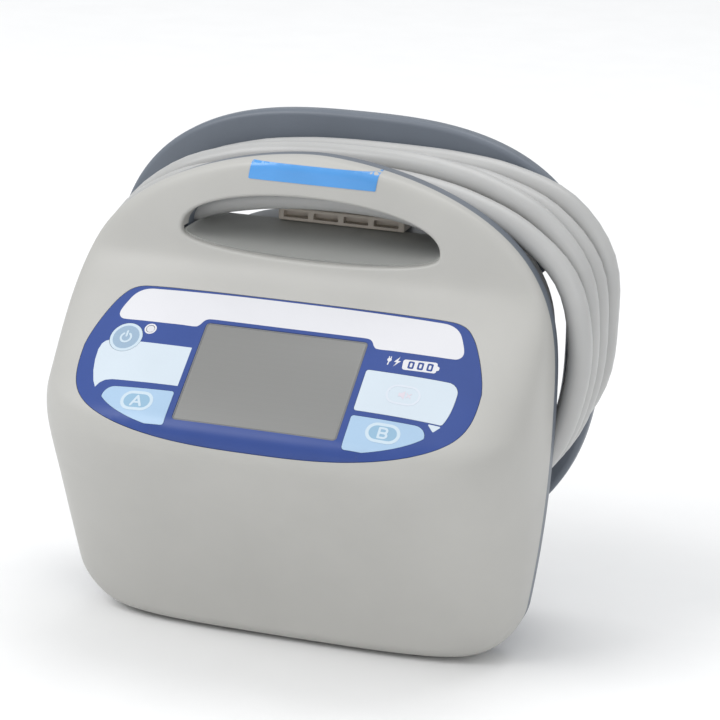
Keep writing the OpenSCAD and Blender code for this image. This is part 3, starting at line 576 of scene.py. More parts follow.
def inset(loop: Array, distance: float) -> Array:
    """Moves each point of a dense outline to its left by distance, along its corner's bisector."""
    before = loop - np.roll(loop, 1, 0)
    after = np.roll(loop, -1, 0) - loop
    before /= np.linalg.norm(before, axis=1)[:, None] + 1e-12
    after /= np.linalg.norm(after, axis=1)[:, None] + 1e-12
    left = np.stack([-(before + after)[:, 1], (before + after)[:, 0]], -1)
    left /= np.linalg.norm(left, axis=1)[:, None] + 1e-12
    cosine = np.sum(left * np.stack([-after[:, 1], after[:, 0]], -1), 1)
    return loop + left * (distance / np.maximum(cosine, 0.4))[:, None]


def ring_faces(count: int, rows: int, first: int = 0) -> list[tuple[int, ...]]:
    """The quads between rows of count points each, from the point numbered first."""
    faces = []
    for r in range(rows - 1):
        for i in range(count):
            a, b = first + r * count + i, first + r * count + (i + 1) % count
            faces.append((a, b, b + count, a + count))
    return faces


def tube_faces(sides: int, rings: int) -> list[tuple[int, ...]]:
    """The faces of a tube of rings, closed at both ends."""
    last = (rings - 1) * sides
    ends = [tuple(range(sides - 1, -1, -1)), tuple(range(last, last + sides))]
    return ring_faces(sides, rings) + ends


def moulded_plate(
    loops: Sequence[Array],
    placing: Placing,
    low: float,
    high: float,
    round_low: float,
    round_high: float,
    steps: int = 4,
) -> tuple[Array, list[tuple[int, ...]]]:
    """A plate of an outline with rounded edges.

    Args:
        loops: The outer outline, counter-clockwise, then its holes, clockwise.
        placing: Where a point of the drawing and a height go.
        low: The height of the lower face.
        high: The height of the upper face.
        round_low: Radius of the lower edges.
        round_high: Radius of the upper edges.
        steps: Rows in each rounding.

    Returns:
        The points and the faces.
    """
    rows = []
    for k in range(steps + 1):
        t = math.pi / 2 * k / steps
        rows.append((round_low * (1 - math.sin(t)), low + round_low * (1 - math.cos(t))))
    for k in range(steps + 1):
        t = math.pi / 2 * k / steps
        rows.append((round_high * (1 - math.cos(t)), high - round_high * (1 - math.sin(t))))
    if round_low == 0:
        rows = [rows[0]] + rows[steps + 1 :]
    if round_high == 0:
        rows = [r for r in rows if r[1] < high] + [rows[-1]]
    points, faces, caps = [], [], {0: [], len(rows) - 1: []}
    for loop in loops:
        count = len(loop)
        first = len(points)
        for index, (inward, height) in enumerate(rows):
            moved = inset(loop, inward) if inward > 1e-9 else loop
            placed = placing(moved[:, 0], moved[:, 1], np.full(count, height))
            if index in caps:
                caps[index].append((moved, len(points)))
            points.extend(placed)
        faces += ring_faces(count, len(rows), first)
    for index, rims in caps.items():
        faces += cap_faces(rims, flipped=index == 0)
    return np.array(points), faces


def cap_faces(rims: Sequence[tuple[Array, int]], flipped: bool) -> list[tuple[int, ...]]:
    """Triangles that close an outline and leave its holes open.

    Args:
        rims: Each loop with the number of its first point.
        flipped: Whether the cap faces down.

    Returns:
        The triangles, as point numbers.
    """
    numbers = [first + i for loop, first in rims for i in range(len(loop))]
    flat = Drawing([rims[0][0]], [loop for loop, _ in rims[1:]])
    points, edges = loop_edges([loop for loop, _ in rims])
    made = delaunay_2d_cdt([Vector((float(u), float(v))) for u, v in points], edges, [], 0, 1e-7)
    corners = np.array([tuple(v) for v in made[0]])
    source = {i: olds[0] for i, olds in enumerate(made[3]) if olds}
    found = []
    for face in made[2]:
        if len(face) != 3 or any(i not in source for i in face):
            continue
        if flat.covers(corners[list(face)].mean(0)[None])[0]:
            a, b, c = (numbers[source[i]] for i in face)
            found.append((c, b, a) if flipped else (a, b, c))
    return found


def plate(
    name: str,
    outline: Array,
    placing: Placing,
    span: tuple[float, float],
    finish: Finish,
    round_low: float = 0.0,
    round_high: float = 0.0,
) -> bpy.types.Object:
    """A piece that is one plate between the two heights of span; see moulded_plate."""
    return piece(name, *moulded_plate([outline], placing, *span, round_low, round_high), finish)


def upright(x: Array, z: Array, depth: Array) -> Array:
    """Places a drawing seen from the front at a depth, in the row frame; depth runs to the back."""
    return housing_point(x, depth, z)


def sideways(y: Array, z: Array, depth: Array) -> Array:
    """Places a drawing seen from the side at a distance to the right."""
    return housing_point(depth, y, z)


def turned(
    profile: Sequence[tuple[float, float]], axis: int, centre: Sequence[float], sides: int = 40
) -> tuple[Array, list[tuple[int, ...]]]:
    """A body of revolution.

    Args:
        profile: Pairs of distance along the axis and radius, in the axis's direction.
        axis: 0, 1 or 2 for x, y or z.
        centre: A point of the axis in the housing's frame.
        sides: Points in each ring.

    Returns:
        The points and the faces.
    """
    points = []
    t = np.linspace(0, 2 * math.pi, sides, endpoint=False)
    others = [(axis + 1) % 3, (axis + 2) % 3]
    for along, radius in profile:
        ring = np.tile(np.array(centre, float), (sides, 1))
        ring[:, axis] += along
        ring[:, others[0]] += max(radius, 1e-4) * np.cos(t)
        ring[:, others[1]] += max(radius, 1e-4) * np.sin(t)
        points.extend(housing_point(ring[:, 0], ring[:, 1], ring[:, 2]))
    return np.array(points), tube_faces(sides, len(profile))


def swept(path: Array, radius: float, sides: int) -> tuple[Array, list[tuple[int, ...]]]:
    """A round tube along a path, closed at both ends.

    Args:
        path: Its middle line.
        radius: Its radius in the path's units.
        sides: Points in each ring.

    Returns:
        The points and the faces.
    """
    ahead = np.gradient(path, axis=0)
    ahead /= np.linalg.norm(ahead, axis=1)[:, None]
    across = np.cross(ahead[0], [0.31, 0.83, 0.47])
    points = []
    t = np.linspace(0, 2 * math.pi, sides, endpoint=False)
    for place, along in zip(path, ahead):
        across = across - along * (across @ along)
        across /= np.linalg.norm(across)
        up = np.cross(along, across)
        points.extend(place + radius * (np.outer(np.cos(t), across) + np.outer(np.sin(t), up)))
    return np.array(points), tube_faces(sides, len(path))


def smooth_path(points: Array, between: int) -> Array:
    """A smooth line through all the points, with that many steps from each to the next."""
    padded = np.concatenate([[2 * points[0] - points[1]], points, [2 * points[-1] - points[-2]]])
    made = []
    for i in range(1, len(padded) - 2):
        p0, p1, p2, p3 = padded[i - 1 : i + 3]
        span = np.linalg.norm(p2 - p1)
        m1 = (p2 - p0) / max(np.linalg.norm(p2 - p0), 1e-9) * span
        m2 = (p3 - p1) / max(np.linalg.norm(p3 - p1), 1e-9) * span
        for k in range(between):
            t = k / between
            made.append(
                (2 * t**3 - 3 * t**2 + 1) * p1 + (t**3 - 2 * t**2 + t) * m1
                + (3 * t**2 - 2 * t**3) * p2 + (t**3 - t**2) * m2
            )
    made.append(padded[-2])
    return np.array(made)


def combine(
    target: bpy.types.Object, tools: Sequence[bpy.types.Object], operation: str
) -> bpy.types.Object:
    """Cuts the tools out of the target, or joins or intersects them, and removes them.

    Args:
        target: The object that is changed.
        tools: Closed objects.
        operation: DIFFERENCE, UNION or INTERSECT.

    Returns:
        The target.
    """
    for tool in tools:
        modifier = target.modifiers.new(tool.name, "BOOLEAN")
        modifier.operation = operation
        modifier.solver = "EXACT"
        modifier.object = tool
        graph = bpy.context.evaluated_depsgraph_get()
        graph.update()
        mesh = bpy.data.meshes.new_from_object(target.evaluated_get(graph))
        target.modifiers.clear()
        target.data = mesh
        bpy.data.objects.remove(tool)
    return target


# ---------------------------------------------------------------- the moulded form


@dataclass(frozen=True)
class CoverForm:
    """The cover's moulded surface, in millimetres in the housing's frame."""

    height: float = 172.0
    half_width: float = 88.3
    widest: float = 86.8
    base_draw: float = 8.3
    base_corner: float = 18.3
    edge_round: float = 5.0
    shoulder_across: float = 1.71
    shoulder_up: float = 3.43
    section_across: float = 3.35
    section_deep: float = 3.85
    lip: float = 0.6
    wall: float = 3.0
    # Side profile at the middle: height, depth, slope of the depth
    profile: tuple[tuple[float, float, float], ...] = (
        (0, 20.5, 0.15), (30, 31.9, 0.53), (60, 49.5, 0.68), (72, 57.6, 0.62), (81, 62, 0.2),
        (91, 58.6, -1.3), (120, 20.6, -1.3), (134, 7.6, -0.25), (141, 7, 0), (172, 7, 0),
    )

    def profile_depth(self, z: Array) -> Array:
        """Depth of the side profile at heights z."""
        z = np.asarray(z, float)
        made = np.full(z.shape, self.profile[-1][1], float)
        for a, b in zip(self.profile, self.profile[1:]):
            h = b[0] - a[0]
            t = (z - a[0]) / h
            value = (
                (2 * t**3 - 3 * t**2 + 1) * a[1] + (t**3 - 2 * t**2 + t) * h * a[2]
                + (3 * t**2 - 2 * t**3) * b[1] + (t**3 - t**2) * h * b[2]
            )
            made = np.where((z >= a[0]) & (z <= b[0]), value, made)
        return made

    @staticmethod
    def round_off(distance: Array, radius: float) -> Array:
        """Depth taken off by a rounding at a distance from its edge."""
        drop = radius - np.sqrt(np.maximum(0, radius**2 - (radius - distance) ** 2))
        return np.where(distance >= radius, 0.0, drop)

    def width_at(self, z: Array, inward: float = 0.0) -> Array:
        """Half width of the outline at heights z, inset by inward."""
        z = np.asarray(z, float)
        rise = np.clip((z - self.widest) / (self.height - inward - self.widest), 0, 1)
        above = (self.half_width - inward) * (1 - rise**self.shoulder_up) ** (1 / self.shoulder_across)
        draw = self.base_draw * ((self.widest - z) / self.widest) ** 2
        below = self.half_width - inward - draw - self.round_off(z - inward, self.base_corner - inward)
        return np.where(z >= self.widest, above, below)

    def depth_at(self, z: Array, inward: float = 0.0) -> Array:
        """Depth at the middle at heights z, inset by inward."""
        z = np.asarray(z, float)
        edge = max(self.edge_round - inward, 1)
        off = self.round_off(self.height - inward - z, edge) + self.round_off(z - inward, edge)
        return self.profile_depth(z) - inward - off

    def front(self, x: Array, z: Array, inward: float = 0.0) -> Array:
        """The surface's y at x and z."""
        share = np.clip(np.abs(x) / np.maximum(self.width_at(z, inward), 1e-6), 0, 1)
        return -self.depth_at(z, inward) * (1 - share**self.section_across) ** (1 / self.section_deep)

    def turns(self, count: int) -> Array:
        """Angles of a cross-section's points, from right to left, at even distances along it."""
        fine = np.linspace(0, math.pi, 4001)
        width, depth = self.half_width, 45.0
        x = width * flat_power(np.cos(fine), 2 / self.section_across)
        y = depth * np.abs(np.sin(fine)) ** (2 / self.section_deep)
        length = np.concatenate([[0], np.cumsum(np.hypot(np.diff(x), np.diff(y)))])
        return np.interp(np.linspace(0, length[-1], count), length, fine)

    def heights(self, inward: float, count: int) -> Array:
        """Heights of the rows, closer together at the base and at the top."""
        low, high = inward + 14.0, self.height - inward - 16.0
        t = np.linspace(0, math.pi / 2, count // 5)
        base = inward + 14.0 * (1 - np.cos(t))[:-1]
        top = high + (self.height - inward - 0.02 - high) * np.sin(t)[1:]
        return np.concatenate([base, np.linspace(low, high, count - len(base) - len(top)), top])

    def solid(self, inward: float, back: float, columns: int, rows: int) -> tuple[Array, list]:
        """The closed solid between the surface, inset, and the plane y = back.

        Returns:
            The points in the row frame and the faces.
        """
        z = self.heights(inward, rows)[:, None]
        t = self.turns(columns)[None, :]
        x = self.width_at(z, inward) * flat_power(np.cos(t), 2 / self.section_across)
        y = -self.depth_at(z, inward) * np.abs(np.sin(t)) ** (2 / self.section_deep)
        z = np.broadcast_to(z, x.shape)
        # the two rear corners close each row
        x = np.concatenate([x, x[:, -1:], x[:, :1]], 1)
        y = np.concatenate([y, np.full((rows, 2), back)], 1)
        z = np.concatenate([z, z[:, :2]], 1)
        points = housing_point(x.ravel(), y.ravel(), z.ravel())
        count = columns + 2
        faces = []
        for r in range(rows - 1):
            for c in range(count):
                a, b = r * count + c, r * count + (c + 1) % count
                faces.append((a, a + count, b + count, b))
        faces.append(tuple(range(count)))
        faces.append(tuple(range(rows * count - 1, (rows - 1) * count - 1, -1)))
        return points, faces


FORM = CoverForm()


@dataclass(frozen=True)
class GripForm:
    """Outline of the finger opening."""

    half_width: float = 47.0
    middle: float = 143.0
    rise: float = 15.0
    drop: float = 7.3

    def outline(self, grow: float, count: int = 120) -> Array:
        """The opening's outline, grown, counter-clockwise seen with x to the right."""
        t = np.linspace(0, 2 * math.pi, count, endpoint=False)
        c, s = np.cos(t), np.sin(t)
        up = self.middle + (self.rise + grow) * np.abs(s) ** 0.9
        down = self.middle - (self.drop + grow) * np.abs(s) ** 0.75
        return np.stack([(self.half_width + grow) * c, np.where(s >= 0, up, down)], -1)

    def lip(self, x: Array, inward: float) -> Array:
        """Height of the lower rim at x, inset by inward."""
        share = np.clip(1 - (np.asarray(x) / (self.half_width - inward)) ** 2, 0, 1)
        return self.middle - (self.drop - inward) * share**0.375


GRIP = GripForm()


@dataclass(frozen=True)
class PanelForm:
    """The sloped panel: u runs across, v up the slope, and w out of it."""

    y: float = -42.9
    z: float = 102.9
    tilt: float = math.radians(37.6)

    def point(self, u: Array, v: Array, w: Array) -> Array:
        """A point of the panel's frame in the row frame."""
        c, s = math.cos(self.tilt), math.sin(self.tilt)
        return housing_point(u, self.y + v * c - w * s, self.z + v * s + w * c)

    def rise(self, u: Array, v: Array) -> Array:
        """How far the cover's surface stands above the panel's plane."""
        c, s = math.cos(self.tilt), math.sin(self.tilt)
        w = np.zeros_like(np.asarray(u, float))
        for _ in range(40):
            y = self.y + v * c - w * s
            z = self.z + v * s + w * c
            w = w + 0.5 * (y - FORM.front(u, z))
        return w

    def on_surface(self, u: Array, v: Array, above: Array) -> Array:
        """A point above the cover's surface, measured out of the panel."""
        return self.point(u, v, self.rise(u, v) + above)


PANEL = PanelForm()


# ---------------------------------------------------------------- hose


@dataclass(frozen=True)
class HoseRoute:
    """The wound hose, in metres: about six and a half turns, over three lanes out and back."""

    diameter: float = 0.0086
    middle: tuple[float, float] = (0.010, 0.115)
    first_bend: float = 0.0369
    first_lane: float = 0.012
    lane_gap: float = 0.0091
    reach_right: tuple[float, ...] = (0.066, 0.063, 0.062, 0.0835, 0.084, 0.085, 0.0865)
    reach_left: tuple[float, ...] = (0.082, 0.082, 0.082, 0.092, 0.092, 0.091, 0.091)
    reach_up: tuple[float, ...] = (0.0324, 0.042, 0.0393, 0.0485, 0.053, 0.050, 0.051)
    reach_down: tuple[float, ...] = (0.0619, 0.0619, 0.0619, 0.071, 0.071, 0.071, 0.071)
    full_left: tuple[float, ...] = (2.4, 2.35, 2.4, 2.6, 2.5, 2.5, 2.5)
    full_right: tuple[float, ...] = (2.3, 2.2, 2.1, 2.15, 2.35, 2.6, 3.0)
    full_down: tuple[float, ...] = (2.8, 2.8, 2.8, 2.7, 2.7, 2.6, 2.5)
    layer_step: float = 0.0096
    port_drop: float = 0.013
    end_turn: float = 6.46
    rings_per_turn: int = 24
    start: tuple[float, float, float] = (0.0305, 0.0302, 0.1472)
    end: tuple[float, float, float] = (0.022, 0.0393, 0.0572)

    @staticmethod
    def shift(s: float, start: float, end: float) -> float:
        """A soft step from 0 to 1 between two turn counts."""
        u = min(1.0, max(0.0, (s - start) / (end - start)))
        return u * u * (3 - 2 * u)

    def lane(self, s: float) -> float:
        """Depth of the strand after s turns."""
        ahead = self.shift(s, 0.66, 0.84) + self.shift(s, 1.66, 1.84)
        back = self.shift(s, 3.42, 3.6) + self.shift(s, 4.42, 4.6) + self.shift(s, 5.42, 5.6)
        return self.first_lane + self.lane_gap * (2 - ahead + back)

    def point(self, s: float) -> tuple[float, float, float]:
        """The middle line after s turns, wound clockwise from the top."""
        a = math.radians(90 - 360 * s)
        mid_z = self.start[2] - self.first_bend if s < 0.5 else self.middle[1]
        k, top = min(6, math.floor(s)), min(6, math.floor(s + 0.5))
        right, up = math.cos(a) >= 0, math.sin(a) >= 0
        step = self.layer_step * self.shift(s, 2.55, 2.72) if k == 2 else 0.0
        across = self.reach_right[k] if right else self.reach_left[k] + step
        drop = self.port_drop * self.shift(s, 6.22, 6.42) if k == 6 else 0.0
        below = self.reach_down[k] + mid_z - self.middle[1] + step - drop
        along = self.reach_up[top] if up else below
        full = self.full_right[top] if right else self.full_left[top]
        n = full if up else self.full_down[k]
        r = ((abs(math.cos(a)) / across) ** n + (abs(math.sin(a)) / along) ** n) ** (-1 / n)
        return (self.middle[0] + r * math.cos(a), self.lane(s), mid_z + r * math.sin(a))

    def route(self) -> Array:
        """The route's points from the connector to the port, in the row frame."""
        bend = (self.middle[0] + self.reach_right[0] - self.first_bend, self.start[2] - self.first_bend)
        points = [self.start]
        for degrees in range(0, 90, 15):
            t = math.radians(degrees)
            points.append((
                bend[0] + self.first_bend * math.sin(t), self.lane(0),
                bend[1] + self.first_bend * math.cos(t),
            ))
        turns = self.end_turn - 0.25
        count = round(turns * self.rings_per_turn)
        points += [self.point(0.25 + turns * i / count) for i in range(count - 1)]
        points.append((self.end[0] + self.diameter, self.end[1], self.end[2]))
        points.append(self.end)
        return np.array(points) + HOUSING_SHIFT * MM


@dataclass
class WoundHose:
    """The air hose on the reel; its plug and its far connector are other pieces."""

    route: HoseRoute = field(default_factory=HoseRoute)
    sides: int = 20
    steps_between: int = 4

    def build(self) -> None:
        path = smooth_path(self.route.route()[::-1], self.steps_between)
        points, faces = swept(path, self.route.diameter / 2, self.sides)
        hose = piece("wound_hose", points, faces, HOSE, 60)
        attach(hose, CASING, "hose", "hose")


@dataclass
class SleevePlug:
    """The hose's far connector: a flat body with four sockets and a barrel across its back."""

    front: float = 22.0
    back: float = 36.0
    left: float = -21.0
    width: float = 47.0
    low: float = 142.4
    tall: float = 4.7
    socket_pitch: float = 11.2
    socket_width: float = 9.2
    socket_depth: float = 3.4
    barrel_at: tuple[float, float] = (30.2, 147.2)
    barrel_r: float = 4.6
    spigot_r: float = 3.9

    def build(self) -> bpy.types.Object:
        """Makes the connector.

        Returns:
            The piece, which replaces the CAD connector.
        """
        middle = self.left + self.width / 2, self.low + self.tall / 2
        outer = rounded_rect(self.width, self.tall, 0.7, middle)
        body = plate("sleeve_plug", outer, upright, (self.front, self.back), CONNECTOR, 0.5, 0.4)
        tools = []
        for i in range(4):
            x = self.left + 2 + i * self.socket_pitch + self.socket_width / 2
            hole = rounded_rect(self.socket_width, self.tall - 2.4, 0.4, (x, middle[1]))
            span = self.front - 1, self.front + self.socket_depth
            tools.append(plate("socket_cut", hole, upright, span, BLACK))
        combine(body, tools, "DIFFERENCE")
        barrel = turned(self.barrel_profile(), 0, (0.0, *self.barrel_at))
        combine(body, [piece("barrel", *barrel, CONNECTOR)], "UNION")
        shade(body, 35)
        return attach(body, CASING, "beige", "sleeve_connector")

    def barrel_profile(self) -> list[tuple[float, float]]:
        """The barrel and its ribbed spigot, as distances to the right and radii."""
        wide, ridge, groove = self.barrel_r, self.spigot_r, self.spigot_r - 0.45
        profile = [(-17, 3.6), (-16.2, 4.3), (-15.4, wide), (22.6, wide), (23.4, 4.3), (24, 3.9)]
        for k in range(4):
            x = 24.4 + 1.5 * k
            profile += [(x, groove), (x + 0.2, ridge), (x + 0.9, ridge), (x + 1.1, groove)]
        return profile + [(30.5, groove)]


# ---------------------------------------------------------------- panel graphics


@dataclass(frozen=True)
class PanelDrawings:
    """The printed fields, keys and icons, in millimetres in the panel's frame."""

    mid: float = 8.0
    half_width: float = 71.5
    down: float = 35.6
    flank: tuple[tuple[float, float], ...] = (
        (71.5, 8), (70.7, 12), (69.2, 17), (67.3, 22), (65.2, 26.5), (63.5, 29.2), (61.4, 31.6),
        (58.6, 33.1), (55, 33.7), (40, 33.9), (20, 34), (0, 34.05),
    )
    field_drop: float = 33.0
    field_corner: float = 3.0
    field_inner: float = 32.6
    screen: tuple[float, float] = (58.6, 41.6)
    power_at: tuple[float, float] = (-56.5, 11.3)
    power_r: float = 6.0
    light_at: tuple[float, float] = (-48.6, 15.6)
    light_r: float = 1.6
    mute_at: tuple[float, float] = (46.5, 1.5)
    letter_at: tuple[float, float] = (43.8, -14.8)
    key_round: float = 1.0

    def overlay(self, grow: float = 0.0) -> Array:
        """Outline of the blue overlay: half an oval below, leaning flanks and soft corners above."""
        t = np.linspace(math.pi, 2 * math.pi, 111)
        across = self.half_width * flat_power(np.cos(t), 2 / 3)
        low = np.stack([across, self.down * flat_power(np.sin(t), 2 / 3) + self.mid], -1)
        right = smooth_path(np.array(self.flank, float), 6)[1:]
        left = (right * np.array([-1, 1]))[::-1][1:]
        return inset(np.concatenate([low, right, left]), -grow)

    def field_edge(self, v: Array) -> Array:
        """Outer border of the key fields at height v."""
        share = np.maximum(0, self.mid - np.asarray(v, float)) / self.field_drop
        return (self.half_width - 7.5) * (1 - share**3) ** (1 / 3)

    def field_corners(self, low: float, high: float) -> Array:
        """Corners of a key field on the right, counter-clockwise from its lower outer corner."""
        bend = high - self.field_corner
        v = np.linspace(low, bend, 17)
        outer = np.stack([self.field_edge(v) - self.key_round, v], -1)
        t = np.radians(np.linspace(0, 90, 7)[1:])
        turn = outer[-1] + self.field_corner * np.stack([np.cos(t) - 1, np.sin(t)], -1)
        return np.concatenate([outer, turn, [[self.field_inner, high], [self.field_inner, low]]])

    def letter_key(self, side: Side, grow: float = 0.0) -> Array:
        """Outline of key A on the left or key B on the right."""
        made = softened(self.field_corners(-22.2, -10.5), self.key_round + grow)
        return made if side is Side.RIGHT else (made * np.array([-1, 1]))[::-1]

    def mute_key(self, grow: float = 0.0) -> Array:
        """Outline of the mute key."""
        return softened(self.field_corners(-6.4, 8.6), self.key_round + grow)

    def power_key(self, grow: float = 0.0) -> Array:
        """Outline of the power key."""
        return circle(self.power_at, self.power_r + grow, 48)

    def screen_window(self, grow: float = 0.0) -> Array:
        """Outline of the window over the display."""
        return rounded_rect(self.screen[0] + 2 * grow, self.screen[1] + 2 * grow, 1.5 + grow)

    def windows(self, gap: float) -> list[Array]:
        """Outlines of all the openings in the overlay."""
        return [
            self.screen_window(), circle(self.light_at, self.light_r, 24), self.power_key(gap),
            self.mute_key(gap), self.letter_key(Side.LEFT, gap), self.letter_key(Side.RIGHT, gap),
        ]

    def header(self) -> Array:
        """Outline of the white strip, with its steps round the screen's upper corners."""
        half = [
            (0, 33.35), (20, 33.3), (37, 33.05), (50, 32.8), (54.2, 32.6), (57, 31.6), (59.2, 29.6),
            (61, 26), (62.1, 22.8), (62.1, 21), (61.2, 19.7), (59.8, 19.1), (52.9, 18.85), (45, 18.7),
            (38, 18.65), (32.6, 18.6), (31.4, 19.6), (30.6, 21), (29.7, 21.9), (28.3, 22.3), (24, 22.35),
            (0, 22.3),
        ]
        right = smooth_path(np.array(half, float), 5)
        left = right[1:-1] * np.array([-1, 1])
        return np.concatenate([right[::-1], left])

    def left_field(self) -> Array:
        """Outline of the pale field left of the screen, with its tip beside key A."""
        return np.array([
            (-31.2, 9.4), (-36.6, 9.5), (-42.1, 9.6), (-49.6, 9.8), (-56.0, 9.9), (-61.8, 9.9), (-63.6, 9.3),
            (-64.7, 8.1), (-65.3, 5.7), (-65.1, 1.4), (-64.2, -3.2), (-62.7, -7.5), (-61.2, -10.1),
            (-60.1, -8.3), (-58.3, -7.1), (-55.6, -6.7), (-47.7, -6.9), (-39.4, -7.0), (-31.2, -7.1),
        ])


DRAWINGS = PanelDrawings()


@dataclass
class ControlPanel:
    """The blue overlay with its prints, the window and the light."""

    drawings: PanelDrawings = DRAWINGS
    overlay_low: float = -0.75
    overlay_high: float = -0.05
    print_t: float = 0.06
    key_gap: float = 0.12

    def film(
        self,
        name: str,
        drawing: Drawing,
        finish: Finish,
        body: str = CASING,
        slot: str = "overlay",
        layer: int = 1,
        spacing: float = 1.5,
    ) -> bpy.types.Object:
        """A printed layer on the overlay or on a key.

        Args:
            name: The piece's name.
            drawing: Its outline.
            finish: Its ink.
            body: The body that it rides on.
            slot: The record's material slot.
            layer: Its place in the stack of inks.
            spacing: The distance between its inner points.

        Returns:
            The piece.
        """
        low = self.overlay_high - 0.02 + self.print_t * (layer - 1)
        high = self.overlay_high + self.print_t * layer
        sheet = slab_mesh(drawing, PANEL.on_surface, low, high, spacing)
        return attach(piece(name, *sheet, finish, 50), body, slot)

    def build(self) -> None:
        """Makes the overlay, its prints, the window and the display's frame."""
        d = self.drawings
        cut = Drawing([d.overlay()], d.windows(self.key_gap))
        points, faces = slab_mesh(cut, PANEL.on_surface, self.overlay_low, self.overlay_high, 1.5)
        attach(piece("overlay_film", points, faces, OVERLAY_BLUE, 50), CASING, "overlay", "control_overlay")
        self.film("header_strip", Drawing([d.header()]), PRINT_WHITE)
        self.fields()
        self.battery_icon()
        self.window()

    def fields(self) -> None:
        """Prints the pale fields beside the screen that aren't keys themselves."""
        d = self.drawings
        ring = circle(d.power_at, d.power_r + self.key_gap, 48)
        self.film("left_field", Drawing([d.left_field()], [ring]), FIELD_PALE, slot="pale_key")
        tip = softened(np.array([[61.3, -8.3], [57.9, -8.3], [59.7, -10.3]]), 0.3)
        self.film("right_field_tip", Drawing([tip]), FIELD_PALE, slot="pale_key")
        light = Drawing([circle(d.light_at, 2.2, 32)], [circle(d.light_at, d.light_r, 24)])
        self.film("light_ring", light, PRINT_WHITE)

    def battery_icon(self) -> None:
        """Prints the battery, the lightning and the plug."""
        body = softened(np.array([[54.0, 13.0], [53.9, 15.6], [43.9, 15.0], [44.1, 12.6]]), 0.9)
        tip = softened(np.array([[55.4, 13.8], [55.4, 14.6], [54.6, 15.0], [54.6, 13.4]]), 0.3)
        cells = []
        for k in range(3):
            u, v = 46.0 + 3.25 * k, 13.95 + 0.12 * k
            cells.append(rounded_rect(2.1, 3.1, 0.5, (u, v)))
        self.film("battery_print", Drawing([body, tip], cells), PRINT_WHITE)
        for k, cell in enumerate(cells):
            inner = rounded_rect(0.8, 1.7, 0.3, tuple(cell.mean(0)))
            self.film(f"battery_cell_{k + 1}", Drawing([inner]), PRINT_WHITE)
        bolt = np.array([(41.6, 16.6), (39.9, 14.3), (40.9, 14.3), (40.1, 12.4), (42.2, 14.9), (41.2, 14.9)])
        self.film("charge_print", Drawing([bolt]), PRINT_WHITE, spacing=3)
        plug = [circle((38.2, 14.9), 0.75, 16)] + stroke([(38.2, 14.2), (38.0, 12.9)], 0.4)
        for u in (37.9, 38.6):
            plug += stroke([(u, 15.5), (u, 16.2)], 0.3)
        self.film("mains_print", Drawing(plug), PRINT_WHITE, spacing=3)

    def window(self) -> None:
        """Makes the window with its thin light frame."""
        width, height = self.drawings.screen
        outer = rounded_rect(width - 0.1, height - 0.1, 1.4)
        glass = rounded_rect(width - 1.2, height - 1.2, 0.8)
        frame = moulded_plate([outer, glass[::-1]], PANEL.point, -1.6, -0.22, 0.0, 0.2)
        attach(piece("window_frame", *frame, SCREEN_FRAME), CASING, "screen")
        pane = rounded_rect(width - 1.24, height - 1.24, 0.8)
        glass_pane = plate("window_pane", pane, PANEL.point, (-1.6, -0.3), SCREEN, 0.0, 0.06)
        attach(glass_pane, CASING, "screen", "lcd_window")


Print = tuple[str, Drawing, Finish, int]


@dataclass
class PanelKey:
    """One key of the panel: a cap that follows the surface, its stem and its prints."""

    body: str
    outline: Array
    stem_at: tuple[float, float]
    finish: Finish
    slot: str
    prints: list[Print]
    cap_t: float = 1.6
    stem_low: float = -7.0
    stem_r: float = 2.0

    def build(self, panel: ControlPanel) -> None:
        """Makes the cap with its stem, and prints on it."""
        high = panel.overlay_high
        sheet = slab_mesh(Drawing([self.outline]), PANEL.on_surface, high - self.cap_t, high, 2.0)
        cap = piece(f"{self.body}_cap", *sheet, self.finish, 50)
        top = float(PANEL.rise(np.array([self.stem_at[0]]), np.array([self.stem_at[1]]))[0]) - 0.8
        stem = circle(self.stem_at, self.stem_r, 32)
        span = self.stem_low, top
        combine(cap, [plate("stem", stem, PANEL.point, span, self.finish, 0.3)], "UNION")
        shade(cap, 40)
        attach(cap, self.body, self.slot, self.body)
        for name, drawing, ink, layer in self.prints:
            panel.film(name, drawing, ink, self.body, self.slot, layer, 1.6)


def bow(u: float, v: float, across: float, up: float, turn: Array) -> list[tuple[float, float]]:
    """Points of an arc about u and v, at angles clockwise from the top."""
    return [(u + across * math.sin(t), v + up * math.cos(t)) for t in turn]


def letter_prints(side: Side) -> list[Print]:
    """The ring, the shaded middle and the letter of key A or B.

    Returns:
        Name, drawing, ink and layer of each print.
    """
    u, v = DRAWINGS.letter_at[0] * side.value, DRAWINGS.letter_at[1]
    outer = rounded_rect(11.9, 7.9, 3.9, (u, v))
    middle = rounded_rect(9.6, 5.6, 2.8, (u, v))
    tag = "a" if side is Side.LEFT else "b"
    if side is Side.LEFT:
        lines = stroke([(u - 1.75, v - 1.9), (u, v + 1.9), (u + 1.75, v - 1.9)], 0.85)
        lines += stroke([(u - 1.1, v - 0.65), (u + 1.1, v - 0.65)], 0.75)
    else:
        half = np.linspace(0, math.pi, 9)
        high, low = bow(u + 0.35, v + 0.95, 0.95, 0.95, half), bow(u + 0.45, v - 0.95, 1.0, 0.95, half)
        lines = stroke([(u - 1.3, v - 1.9), (u - 1.3, v + 1.9), *high, (u - 1.3, v)], 0.8)
        lines += stroke([(u - 1.3, v), *low, (u - 1.3, v - 1.9)], 0.8)
    return [
        (f"key_{tag}_middle", Drawing([middle]), KEY_SHADE, 1),
        (f"key_{tag}_ring", Drawing([outer], [middle]), KEY_RING, 1),
        (f"key_{tag}_letter", Drawing(lines), KEY_RING, 2),
    ]


